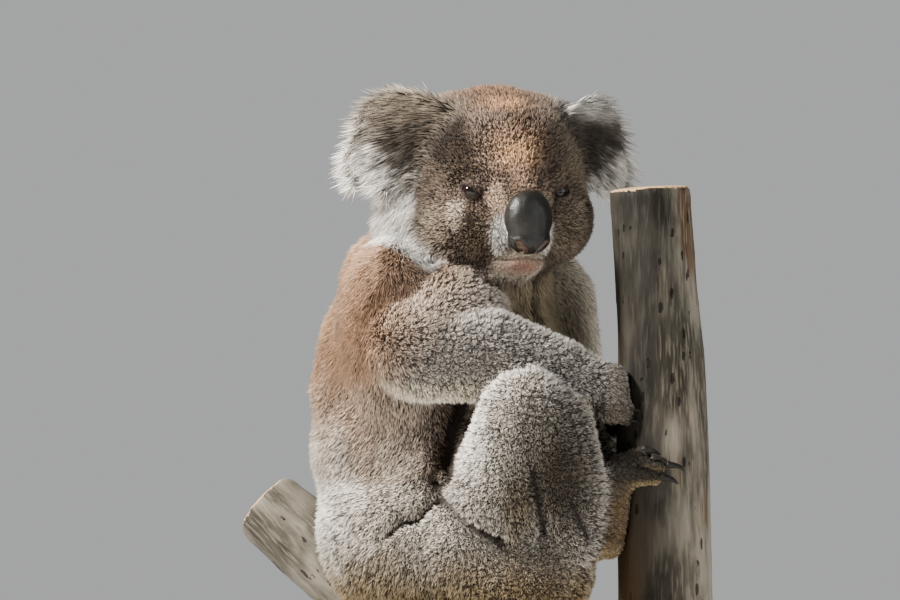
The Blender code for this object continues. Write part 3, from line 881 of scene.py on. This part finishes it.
def sockets(tree, inputs, outputs):
    """Names a group's inputs and outputs; gives the sockets that offer the first and take the last."""
    for way, named in (("INPUT", inputs), ("OUTPUT", outputs)):
        for name, kind in named.items():
            tree.interface.new_socket(name, in_out=way, socket_type=f"NodeSocket{kind}")
    return tree.nodes.new("NodeGroupInput").outputs, tree.nodes.new("NodeGroupOutput").inputs


def feed(surface, **outputs):
    """Joins outputs to a surface's inputs."""
    for name, output in outputs.items():
        surface.id_data.links.new(output, surface.inputs[name.replace("_", " ")])


def worked(kind, inputs, **settings):
    """A node put in the tree of the outputs that feed it."""
    fed = next(value for value in inputs.values() if isinstance(value, bpy.types.NodeSocket))
    return add(fed.id_data, kind, inputs, **settings).outputs


def maths(operation, *values):
    return worked("ShaderNodeMath", dict(enumerate(values)), operation=operation)[0]


def times(a, b):
    return maths("MULTIPLY", a, b)


def plus(a, b):
    return maths("ADD", a, b)


def minus(a, b):
    return maths("SUBTRACT", a, b)


def vectors(operation, *values):
    return worked("ShaderNodeVectorMath", dict(enumerate(values)), operation=operation)[0]


def scaled(vector, factor):
    return worked("ShaderNodeVectorMath", {"Vector": vector, "Scale": factor}, operation="SCALE")[0]


MIX_INPUTS = (0, 6, 7)  # the colours' sockets among those for values and vectors
MIX_RESULT = 2


def blended(factor, a, b):
    """Two colours mixed, each an output or six hexadecimal digits."""
    a, b = ((*tint(colour), 1) if isinstance(colour, str) else colour for colour in (a, b))
    return worked("ShaderNodeMix", dict(zip(MIX_INPUTS, (factor, a, b))), data_type="RGBA")[MIX_RESULT]


def ramp(value, low, high, to_low=0.0, to_high=1.0):
    """A value's stretch from low to high, eased, as to_low to to_high."""
    stretch = {"Value": value, "From Min": low, "From Max": high, "To Min": to_low, "To Max": to_high}
    return worked("ShaderNodeMapRange", stretch, interpolation_type="SMOOTHSTEP")[0]


def mapped(place, stretch):
    return worked("ShaderNodeMapping", {"Vector": place, "Scale": stretch})[0]


def noise(place, scale, detail=3.0, stretch=None):
    if stretch:
        place = mapped(place, stretch)
    return worked("ShaderNodeTexNoise", {"Vector": place, "Scale": scale, "Detail": detail})["Fac"]


def cells(place, scale, uneven=1.0, feature="F1"):
    return worked(
        "ShaderNodeTexVoronoi", {"Vector": place, "Scale": scale, "Randomness": uneven}, feature=feature
    )


def bumped(height, distance, strength=1.0):
    return worked("ShaderNodeBump", {"Height": height, "Distance": distance, "Strength": strength})["Normal"]


def object_place(tree):
    return add(tree, "ShaderNodeTexCoord").outputs["Object"]


def attribute(tree, name):
    return add(tree, "ShaderNodeAttribute", attribute_name=name).outputs


def ticked_hair():
    tree = bpy.data.node_groups.new("ticked_hair", "ShaderNodeTree")
    kinds = {"Tone": "Color", "Along": "Float", "Chance": "Float", "Ticking": "Float", "Deep": "Float"}
    given, result = sockets(tree, kinds, {"Color": "Color"})
    swing = times(minus(given["Chance"], 0.5), given["Ticking"])
    uneven = plus(1.0, times(swing, 1.5))
    depth = maths("MAXIMUM", minus(0.80, times(given["Ticking"], 0.68)), 0.16)
    root = ramp(given["Along"], 0.10, 0.80, depth, 1.05)
    # Painted shade: tufts at the edges of locks and in partings are darkened.
    shade = minus(1.0, times(given["Deep"], 0.85))
    light = times(times(uneven, root), shade)
    dyed = scaled(given["Tone"], light)
    pale = times(ramp(given["Chance"], 0.40, 0.95, 0.0, 0.72), shade)
    pale = times(pale, maths("MINIMUM", 1.0, times(given["Ticking"], 1.4)))
    tip = times(ramp(given["Along"], 0.45, 0.9), pale)
    bleached = vectors("MINIMUM", scaled(given["Tone"], 2.0), (0.93, 0.89, 0.83))
    tree.links.new(blended(tip, dyed, bleached), result["Color"])
    return tree


hair_dye, hair_surface = finish(
    "hair", Roughness=0.72, Sheen_Weight=0.05, Sheen_Roughness=0.4, Specular_IOR_Level=0.12
)
tree = hair_dye.node_tree
ticked = add(tree, "ShaderNodeGroup", node_tree=ticked_hair())
tree.links.new(attribute(tree, "tone")["Color"], ticked.inputs["Tone"])
for name in ("Along", "Chance", "Ticking", "Deep"):
    tree.links.new(attribute(tree, name.lower())["Fac"], ticked.inputs[name])
feed(hair_surface, Base_Color=ticked.outputs["Color"])

skin_dye, skin_surface = finish("skin", Roughness=0.8, Specular_IOR_Level=0.3)
tree = skin_dye.node_tree
place = object_place(tree)
# Painted shade: the skin is darker than the coat's tone, unevenly.
mottle_and_shade = ramp(noise(place, 700), 0.35, 0.65, 0.45, 0.85)
feed(
    skin_surface,
    Base_Color=scaled(attribute(tree, "tone")["Color"], mottle_and_shade),
    Normal=bumped(noise(place, 1100), 0.0006, 0.8),
)
skin.data.materials.clear()
skin.data.materials.append(skin_dye)
skin.data.shade_smooth()
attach(skin, "root")
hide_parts(*FLESH)

# ---------------- coat
# Every tuft is a thin closed spike or spindle of mesh, rooted under the skin and laid along the coat's lie.
# The skin is divided into fields of a size that one piece may have, and each field grows its own tufts.
PATCH = 0.003  # side of a tuft's place on the field's map
ROOTED = 0.10  # share of a tuft below the skin


def tuft_mesh(name, rings, sides=3):
    """A closed spike along +Y of unit length and width, from rings of (place along, half width, rise)."""
    bm = bmesh.new()
    along = bm.verts.layers.float.new("along")
    patch = bm.loops.layers.uv.new("patch")
    loops = []
    for y, half, rise in rings:
        turns = [2 * math.pi * i / sides for i in range(sides if half else 1)]
        loops.append([bm.verts.new((half * math.sin(t), y, rise + half * math.cos(t))) for t in turns])
        for vert in loops[-1]:
            vert[along] = max(y, 0)
    faces = [[(vert, 0, i) for i, vert in enumerate(loops[0])]]
    for (y0, _, _), (y1, _, _), low, high in zip(rings, rings[1:], loops, loops[1:]):
        for i in range(sides):
            after = (i + 1) % sides
            upper = [(high[0], y1, i + 0.5)]
            if len(high) > 1:
                upper = [(high[after], y1, i + 1), (high[i], y1, i)]
            faces.append([(low[i], y0, i), (low[after], y0, i + 1), *upper])
    for around in faces:
        face = bm.faces.new([vert for vert, _, _ in around])
        face.smooth = True
        for loop, (_, y, turn) in zip(face.loops, around):
            loop[patch].uv = (min(max(y, 0), 1) - 0.5, turn / sides - 0.5)
    bmesh.ops.recalc_face_normals(bm, faces=bm.faces)
    bmesh.ops.triangulate(bm, faces=bm.faces)
    return add_piece(name, bm)


SHORT_TUFT = [(-ROOTED, 0.5, 0.0), (1.0, 0.0, -0.04)]
LONG_TUFT = [(-ROOTED, 0.32, 0.0), (0.45, 0.5, 0.05), (1.0, 0.0, -0.12)]


WIDTHS = (0.75, 1.25)  # of the tufts, as shares of what their place asks for
LENGTHS = (0.75, 1.20)
SHORTER_AT_EDGE = 0.55  # of a lock


def coat_tree():
    tree = bpy.data.node_groups.new("coat", "GeometryNodeTree")
    kinds = {
        "Field": "Geometry",
        "Tuft": "Object",
        "Scatter": "Float",
        "Lock size": "Float",
        "Woolliness": "Float",
        "Patch": "Float",
        "Seed": "Int",
        "Dye": "Material",
    }
    given, result = sockets(tree, kinds, {"Coat": "Geometry"})

    def worn(name, data_type="FLOAT"):
        return add(tree, "GeometryNodeInputNamedAttribute", {"Name": name}, data_type=data_type).outputs[0]

    def noted(geometry, name, value, data_type="FLOAT", domain="POINT"):
        note = {"Geometry": geometry, "Name": name, "Value": value}
        return worked("GeometryNodeStoreNamedAttribute", note, data_type=data_type, domain=domain)[0]

    def chance(low, high, number, data_type="FLOAT"):
        made = add(tree, "FunctionNodeRandomValue", data_type=data_type)
        for socket in made.inputs:
            if socket.enabled and socket.name in ("Min", "Max"):
                socket.default_value = low if socket.name == "Min" else high
        tree.links.new(plus(given["Seed"], float(number)), made.inputs["Seed"])
        return next(socket for socket in made.outputs if socket.enabled)

    # Crowd is in tufts on a square centimetre.
    crowded = {"Mesh": given["Field"], "Density": times(worn("crowd"), 1e4), "Seed": given["Seed"]}
    roots = worked("GeometryNodeDistributePointsOnFaces", crowded, distribute_method="RANDOM")
    out = roots["Normal"]
    at = add(tree, "GeometryNodeInputPosition").outputs[0]
    # A tuft lies along the coat, stands up from the skin, strays and leans to the middle of its lock.
    locks = maths("DIVIDE", 1.0, given["Lock size"])
    middle = vectors("SUBTRACT", cells(at, locks, 0.9)["Position"], at)
    drawn = scaled(middle, maths("DIVIDE", worn("lock"), worn("long")))
    lying = scaled(worn("lie", "FLOAT_VECTOR"), maths("COSINE", worn("stand")))
    rising = scaled(out, maths("SINE", worn("stand")))
    strayed = scaled(chance((-1, -1, -1), (1, 1, 1), 1, "FLOAT_VECTOR"), given["Scatter"])
    course = vectors("ADD", vectors("ADD", lying, rising), vectors("ADD", drawn, strayed))
    aimed = worked("FunctionNodeAlignRotationToVector", {"Vector": course}, axis="Y")[0]
    rolled = {"Rotation": aimed, "Vector": out}
    turned = worked("FunctionNodeAlignRotationToVector", rolled, axis="Z", pivot_axis="Y")[0]
    # Tufts at the edge of a lock are shorter, and painted shade darkens them.
    border = cells(at, locks, 0.9, "DISTANCE_TO_EDGE")["Distance"]
    parted = ramp(border, 0.02, 0.16, 1.0, 0.0)
    parted = times(parted, ramp(noise(at, 75, 2.0), 0.36, 0.60, 0.15, 1.0))
    # Wider partings run between groups of locks, here and there, shortened and darkened with painted shade in
    # the same way.
    groups = cells(at, maths("DIVIDE", 0.5, given["Lock size"]), 1.0, "DISTANCE_TO_EDGE")["Distance"]
    cracked = ramp(groups, 0.02, 0.09, 1.0, 0.0)
    cracked = times(cracked, ramp(noise(at, 28, 2.0), 0.48, 0.58))
    edge = times(maths("MAXIMUM", parted, cracked), given["Woolliness"])
    full = minus(1.0, times(edge, SHORTER_AT_EDGE))
    wide = times(worn("wide"), chance(*WIDTHS, 2))
    long = times(times(worn("long"), full), chance(*LENGTHS, 3))
    size = worked("ShaderNodeCombineXYZ", {"X": wide, "Y": long, "Z": wide})[0]
    points = noted(roots["Points"], "chance", chance(0.0, 1.0, 4))
    points = noted(points, "deep", edge)
    tuft = worked("GeometryNodeObjectInfo", {"Object": given["Tuft"]})["Geometry"]
    grown = {"Points": points, "Instance": tuft, "Rotation": turned, "Scale": size}
    grown = worked("GeometryNodeInstanceOnPoints", grown)[0]
    real = worked("GeometryNodeRealizeInstances", {"Geometry": grown})[0]
    patch = scaled(worn("patch", "FLOAT_VECTOR"), given["Patch"])
    flat = vectors("ADD", worn("field_map", "FLOAT_VECTOR"), patch)
    real = noted(real, "OFBake", flat, "FLOAT2", "CORNER")
    dyed = worked("GeometryNodeSetMaterial", {"Geometry": real, "Material": given["Dye"]})[0]
    tree.links.new(dyed, result["Coat"])
    return tree


COAT_TREE = coat_tree()


def set_inputs(modifier, **values):
    """Sets a Geometry Nodes modifier's inputs by the identifiers of their sockets."""
    offered = modifier.node_group.interface.items_tree
    ids = {item.name: item.identifier for item in offered if item.in_out == "INPUT"}
    for name, value in values.items():
        modifier[ids[name.replace("_", " ")]] = value


def unwrap(piece, map_name):
    """A map of the piece's own shape, in flat islands."""
    while piece.data.uv_layers:
        piece.data.uv_layers.remove(piece.data.uv_layers[0])
    piece.data.uv_layers.new(name=map_name)
    bpy.ops.object.select_all(action="DESELECT")
    bpy.context.view_layer.objects.active = piece
    piece.select_set(True)
    bpy.ops.object.mode_set(mode="EDIT")
    bpy.ops.mesh.select_all(action="SELECT")
    bpy.ops.uv.smart_project(angle_limit=math.radians(60), island_margin=0.004, margin_method="ADD")
    bpy.ops.object.mode_set(mode="OBJECT")


def field_of_skin(name, chosen):
    """The chosen faces of the skin as an object of their own, unwrapped."""
    bm = bmesh.new()
    bm.from_mesh(skin.data)
    bm.faces.ensure_lookup_table()
    bmesh.ops.delete(bm, geom=[bm.faces[i] for i in np.flatnonzero(~chosen)], context="FACES")
    field = add_piece(name, bm)
    unwrap(field, "field_map")
    return field


USED_UP = ("lie", "long", "wide", "stand", "lock", "crowd", "patch", "field_map")


def grow_coat(name, chosen, tuft, scatter, lock_size, woolliness, seed):
    coat = field_of_skin(name, chosen)
    growth = coat.modifiers.new("growth", "NODES")
    growth.node_group = COAT_TREE
    set_inputs(growth, Tuft=tuft, Scatter=scatter, Lock_size=lock_size, Woolliness=woolliness)
    set_inputs(growth, Patch=PATCH, Seed=seed, Dye=hair_dye)
    settle(coat)
    for layer in [a.name for a in coat.data.attributes if a.name in USED_UP]:
        coat.data.attributes.remove(coat.data.attributes[layer])
    if not coat.data.polygons:
        sys.exit(f"{name} has no tufts")
    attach(coat, "root")


short_tuft = tuft_mesh("short_tuft", SHORT_TUFT)
long_tuft = tuft_mesh("long_tuft", LONG_TUFT)
face_corner = np.array([p.vertices[0] for p in skin.data.polygons])
face_owner = np.array(FLESH)[owner[face_corner]]
face_left = face_at[face_corner, 1]


def faces_on(*nodes):
    return np.isin(face_owner, nodes)


def limb(side, *parts):
    return faces_on(*(f"{part}_{side}" for part in parts))


ARM = ("upper_arm", "forearm", "hand")
LEG = ("thigh", "shin", "foot")
COATS = {  # faces, tuft, scatter, size of a lock, woolliness
    "head_right": (faces_on("head") & (face_left < 0), short_tuft, 0.30, 0.0034, 0.85),
    "head_left": (faces_on("head") & (face_left >= 0), short_tuft, 0.30, 0.0034, 0.85),
    "ear_right": (faces_on("ear_right"), long_tuft, 0.09, 0.009, 0.0),
    "ear_left": (faces_on("ear_left"), long_tuft, 0.09, 0.009, 0.0),
    "chest": (faces_on("neck", "chest"), short_tuft, 0.20, 0.0045, 0.35),
    "belly": (faces_on("belly"), short_tuft, 0.24, 0.0045, 0.6),
    "rump": (faces_on("rump"), short_tuft, 0.24, 0.0050, 0.9),
    "arm_right": (limb("right", *ARM), short_tuft, 0.22, 0.0048, 1.0),
    "arm_left": (limb("left", *ARM), short_tuft, 0.22, 0.0048, 0.1),
    "leg_right": (limb("right", *LEG), short_tuft, 0.22, 0.0054, 1.0),
    "leg_left": (limb("left", *LEG), short_tuft, 0.22, 0.0054, 1.0),
}
SEED_STEP, FIRST_SEED = 10, 3
for number, (name, growing) in enumerate(COATS.items()):
    grow_coat(f"coat_{name}", *growing, SEED_STEP * number + FIRST_SEED)
for tuft in (short_tuft, long_tuft):
    bpy.data.objects.remove(tuft)

# ---------------- eyes
# Two glass eyes, each a ball with a low dome in front, set behind the lids. The iris is dark brown with fine
# spokes and a darker rim, and the pupil an upright slit.
DOME_RISE = 0.0006
DOME_WIDE = math.radians(34)


def eyeball(side):
    ahead, across, up = (Vector(line) for line in eye_axes(side))
    bm = bmesh.new()
    bmesh.ops.create_uvsphere(bm, u_segments=64, v_segments=48, radius=EYE_RADIUS)
    front = bm.loops.layers.uv.new("front")
    turn = Matrix((across, up, ahead)).transposed()
    if turn.determinant() < 0:
        turn = Matrix((-across, up, ahead)).transposed()
    for vert in bm.verts:
        off = math.acos(max(-1, min(1, vert.co.z / EYE_RADIUS)))
        if off < DOME_WIDE:
            vert.co *= 1 + DOME_RISE / EYE_RADIUS * math.cos(off / DOME_WIDE * math.pi / 2) ** 2
    for face in bm.faces:
        face.smooth = True
        for loop in face.loops:
            loop[front].uv = (loop.vert.co.x / EYE_RADIUS, loop.vert.co.y / EYE_RADIUS)
    bmesh.ops.transform(bm, matrix=Matrix.Translation(EYES[side]) @ turn.to_4x4(), verts=bm.verts)
    return add_piece(f"eyeball_{side}", bm)


PUPIL = {"X": 0.085, "Y": 0.34}  # half width and half height, as shares of the ball's radius


def iris_dye():
    made, surface = finish(
        "iris", Roughness=0.10, Specular_IOR_Level=0.3, Coat_Weight=0.25, Coat_Roughness=0.02
    )
    tree = made.node_tree
    flat = add(tree, "ShaderNodeUVMap", uv_map="front").outputs[0]
    xyz = worked("ShaderNodeSeparateXYZ", {0: flat})
    away = worked("ShaderNodeVectorMath", {0: flat}, operation="LENGTH")["Value"]
    spoke = times(maths("ARCTAN2", xyz["Y"], xyz["X"]), 6.0)
    spokes = worked("ShaderNodeCombineXYZ", {"X": spoke, "Y": away})[0]
    iris = blended(ramp(noise(spokes, 3.0, 4.0), 0.35, 0.65), "0d0806", "24150d")
    iris = blended(ramp(away, 0.42, 0.56), iris, "120b08")
    squares = [maths("POWER", maths("DIVIDE", xyz[axis], half), 2.0) for axis, half in PUPIL.items()]
    iris = blended(ramp(plus(*squares), 0.7, 1.1), "050404", iris)
    feed(surface, Base_Color=iris)
    return made


IRIS = iris_dye()
for side in SIDES:
    ball = eyeball(side)
    ball.data.materials.append(IRIS)
    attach(ball, "root")
    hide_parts(f"eye_{side}")

# ---------------- nose
# A large bare pad of pebbled leather, broad below, with a comma-shaped nostril cut into each lower corner
# and a shallow groove between them.
NOSE_GRAIN = 0.0008
NOSTRIL = [(0.0070, -0.0515), (0.0102, -0.0490), (0.0124, -0.0450)]
NOSTRIL_DEPTH = 0.0048
RIM_AWAY, RIM_WIDTH, RIM_HEIGHT = 0.0024, 0.0016, 0.0005
GROOVE_WIDTH, GROOVE_DEPTH = 0.0011, 0.0010
NOSE_MIDDLE = 0.0022  # how far the pad's middle is to the left of the head's
nose_pad = melted("nose_pad", ["nose"], 0.0003, NOSE_GRAIN, 22)
pad_at = coords(nose_pad.data)
pad_out = normals(nose_pad.data)
pad_face = in_head(pad_at)
pad_face[:, 1] -= NOSE_MIDDLE
flat_side = pad_face[:, 1:]
facing = soft_step(pad_out @ AHEAD, -0.2, 0.3)
nostril, rim = np.zeros((2, len(pad_at)))
for side in SIDES.values():
    far = distance_to_path(flat_side, [(side * x, z) for x, z in NOSTRIL])
    open_width = 0.0010 + 0.0014 * soft_step(-side * flat_side[:, 0], -0.013, -0.008)
    nostril = np.maximum(nostril, (1 - soft_step(far, open_width, open_width + 0.0013)) * facing)
    rim = np.maximum(rim, bump_over(far - open_width - RIM_AWAY, RIM_WIDTH) * facing)
groove = bump_over(flat_side[:, 0], GROOVE_WIDTH) * soft_step(-flat_side[:, 1], 0.043, 0.050) * facing
pressed = NOSTRIL_DEPTH * nostril + GROOVE_DEPTH * groove - RIM_HEIGHT * rim
place_vertices(nose_pad.data, pad_at - AHEAD * pressed[:, None])
store(nose_pad.data, "pink", "FLOAT", np.clip(0.8 * nostril * (1 - nostril) * 4, 0, 1))
store(nose_pad.data, "hole", "FLOAT", nostril)

leather, leather_surface = finish("nose_leather", Roughness=0.42, Specular_IOR_Level=0.42)
tree = leather.node_tree
place = object_place(tree)
pebbles = cells(place, 1150.0)["Distance"]
grey = blended(ramp(noise(place, 60), 0.35, 0.7), "0e0d0b", "1a1916")
grey = blended(attribute(tree, "pink")["Fac"], grey, "7d5a4d")
# Painted shade deep in the nostrils.
grey = blended(ramp(attribute(tree, "hole")["Fac"], 0.6, 1.0), grey, "2a1d18")
wrinkled = plus(times(pebbles, -0.35), noise(place, 240))
feed(
    leather_surface,
    Base_Color=grey,
    Roughness=ramp(pebbles, 0.1, 0.7, 0.30, 0.48),
    Normal=bumped(wrinkled, 0.0005, 0.7),
)
nose_pad.data.materials.append(leather)
nose_pad.data.shade_smooth()
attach(nose_pad, "root")
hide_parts("nose")

# ---------------- claws
# Dark curved horn, one on each digit but the big toe, rounded from the plain claws of the frame. Fine streaks
# in it are browner and duller.
horn, horn_surface = finish("horn", Roughness=0.5, Specular_IOR_Level=0.3)
tree = horn.node_tree
streaks = noise(object_place(tree), 260, stretch=(1, 1, 0.3))
feed(
    horn_surface,
    Base_Color=blended(ramp(streaks, 0.35, 0.7), "080706", "1b1611"),
    Roughness=ramp(streaks, 0.3, 0.7, 0.40, 0.60),
    Normal=bumped(streaks, 0.0002, 0.6),
)
CLAW_SWELL = 0.0006
PAWS = [f"{limb}_{side}" for limb in ("hand", "foot") for side in SIDES]
for paw in PAWS:
    nodes = [node for node in frame["nodes"] if node.startswith(f"claw_{paw}")]
    claws = swollen(f"claws_{paw}", nodes, CLAW_SWELL, squared=True)
    rounding = claws.modifiers.new("rounding", "SUBSURF")
    rounding.levels = rounding.render_levels = 2
    settle(claws)
    claws.data.materials.append(horn)
    claws.data.shade_smooth()
    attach(claws, "root")
    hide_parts(*nodes)

# ---------------- branch
# A short cut fork of smooth-barked gum: an upright stem and a lower limb grown into it. The bark is thin,
# streaked and pitted, and has peeled in places to ochre wood. The cut ends show pale wood with rings.
BARK_GRAIN = 0.0034
fork = melted("gum_fork", ["perch_stem", "perch_limb"], 0.0004, BARK_GRAIN, 6)
bark_at = coords(fork.data)
bark_out = normals(fork.data)


def cut_end(node, outward):
    """The middle of a tube's cap and the way it faces: the face farthest out from the tube's middle."""
    mesh = frame["nodes"][node].data
    middle = np.array(middle_of(node))
    caps = [f for f in mesh.polygons if f.normal @ Vector(outward) > 0.5]
    cap = max(caps, key=lambda f: f.normal @ (f.center - Vector(middle)))
    level = [v.co for v in mesh.vertices if abs((v.co - cap.center) @ cap.normal) < 0.0005]
    return sum(level, Vector()) / len(level), cap.normal.copy()


CUT_ENDS = [cut_end("perch_stem", (0, 0, 1)), cut_end("perch_limb", (-1, 0, 0))]
CUT_FROM = (-0.0060, -0.0035)  # under the end's level
CUT_FACING = (0.45, 0.75)
WIDEST_END = 0.07
cut, from_pith = np.zeros((2, len(bark_at)))
for pith, facing_out in CUT_ENDS:
    away = bark_at - np.array(pith)
    level = away @ np.array(facing_out)
    radial = np.linalg.norm(away - level[:, None] * np.array(facing_out), axis=1)
    here = soft_step(level, *CUT_FROM) * soft_step(bark_out @ np.array(facing_out), *CUT_FACING)
    here *= radial < WIDEST_END
    cut = np.maximum(cut, here)
    from_pith = np.where(here > 0, radial, from_pith)
store(fork.data, "cut", "FLOAT", cut)
store(fork.data, "from_pith", "FLOAT", from_pith)


BARK_SWELLINGS = [(0.0022, 0.050, 3.0, 3.0), (0.0009, 0.011, 5.0, 9.0)]  # height, size, stretch, seed
swellings = sum(height * ripple(bark_at, *swelling) for height, *swelling in BARK_SWELLINGS)
swellings *= 1 - 0.8 * cut
place_vertices(fork.data, bark_at + bark_out * swellings[:, None])

# The grain runs along each branch: places on the limb are turned until it stands upright.
LIMB_BORDER = (0.050, 0.085)  # across, from the limb to the stem
limb_from = Vector((LIMB_BORDER[1], 0, bark_at[:, 2].min()))
stand_up = (CUT_ENDS[1][0] - limb_from).rotation_difference(Vector((0, 0, 1))).to_matrix()
on_stem = soft_step(bark_at[:, 0], *LIMB_BORDER)[:, None]
grain_at = bark_at * on_stem + bark_at @ np.array(stand_up).T * (1 - on_stem)
store(fork.data, "grain_at", "FLOAT_VECTOR", grain_at)

bark, bark_surface = finish("bark", Roughness=0.7, Specular_IOR_Level=0.15)
tree = bark.node_tree
place = attribute(tree, "grain_at")["Vector"]
# Fine fibres and soft streaks up the stem, flaking patches and brown stains.
streak = noise(place, 60, 8.0, stretch=(1, 1, 0.14))
fibre = noise(place, 420, 4.0, stretch=(1, 1, 0.10))
blotch = noise(place, 26, 8.0, stretch=(1, 1, 0.45))
peel = noise(place, 22, 8.0, stretch=(1, 1, 0.30))
ground = blended(ramp(blotch, 0.42, 0.58), "7d776b", "48443b")
ground = blended(ramp(streak, 0.44, 0.62, 0.0, 0.7), ground, "26221c")
ground = blended(ramp(peel, 0.56, 0.63, 0.0, 0.7), ground, "4a3018")
ground = blended(ramp(fibre, 0.48, 0.66, 0.0, 0.45), ground, "8a8374")
# The short dark slits are of every size, and their edges are torn.
torn = scaled(worked("ShaderNodeTexNoise", {"Vector": place, "Scale": 330.0})["Color"], 0.0022)
slits = cells(mapped(vectors("ADD", place, torn), (1, 1, 0.36)), 210.0)
chosen = worked("ShaderNodeSeparateColor", {0: slits["Color"]})[0]
pit_size = ramp(chosen, 0.74, 1.0, 0.0, 0.42)
pit = ramp(minus(pit_size, slits["Distance"]), 0.0, 0.10)
ground = blended(times(pit, 0.85), ground, "15100c")
# Painted shade darkens the stem's left side, where the animal sits against it, and painted light brightens
# its right side; it is ochre low down.
across, _, height = worked("ShaderNodeSeparateXYZ", {0: object_place(tree)})
wander = times(noise(place, 24, 5.0, stretch=(1, 1, 0.25)), 0.045)
on_limb = ramp(across, *LIMB_BORDER, 1.0, 0.0)
side_shade_and_light = ramp(plus(across, wander), 0.138, 0.182, 0.16, 1.30)
ground = scaled(ground, plus(side_shade_and_light, times(on_limb, 0.60)))
low_down = ramp(plus(height, times(wander, 3.0)), 0.34, 0.50, 0.65, 0.0)
inner = ramp(plus(across, wander), 0.120, 0.150, 1.0, 0.0)
inner = times(inner, minus(1.0, on_limb))
ground = blended(times(low_down, inner), ground, "3d2a10")
# Rings on the cut ends, darker at the pith, under a torn edge of bark.
RING = 0.0032
bark_edge = noise(place, 90, 3.0)
growth = plus(attribute(tree, "from_pith")["Fac"], times(bark_edge, 0.0022))
rings = maths("SINE", times(growth, 2 * math.pi / RING))
wood = blended(ramp(rings, -0.6, 0.9), "b79a74", "9a7c57")
wood = blended(ramp(growth, 0.004, 0.026), "8f6c48", wood)
sawn = ramp(plus(attribute(tree, "cut")["Fac"], times(bark_edge, 0.3)), 0.55, 0.75)
rough = minus(plus(streak, times(fibre, 0.5)), pit)
feed(
    bark_surface,
    Base_Color=blended(sawn, ground, wood),
    Roughness=ramp(streak, 0.3, 0.7, 0.62, 0.82),
    Normal=bumped(rough, 0.0016, 0.9),
)
fork.data.materials.clear()
fork.data.materials.append(bark)
fork.data.shade_smooth()
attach(fork, "root")
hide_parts("perch_stem", "perch_limb")

# ---------------- stand
# A flat board base and two thin steel rods, painted in one dark warm grey with a fine even pebble.
coating, coating_surface = finish("grey_paint", Roughness=0.5)
tree = coating.node_tree
place = object_place(tree)
pebble = noise(place, 1400)
feed(
    coating_surface,
    Base_Color=blended(ramp(noise(place, 16), 0.3, 0.7), "45423f", "4f4c48"),
    Roughness=ramp(pebble, 0.3, 0.7, 0.42, 0.56),
    Normal=bumped(pebble, 0.0002, 0.5),
)
for node in ("stand_base", "stand_rod_stem", "stand_rod_limb"):
    solid = frame["nodes"][node]
    solid.data.materials.clear()
    solid.data.materials.append(coating)
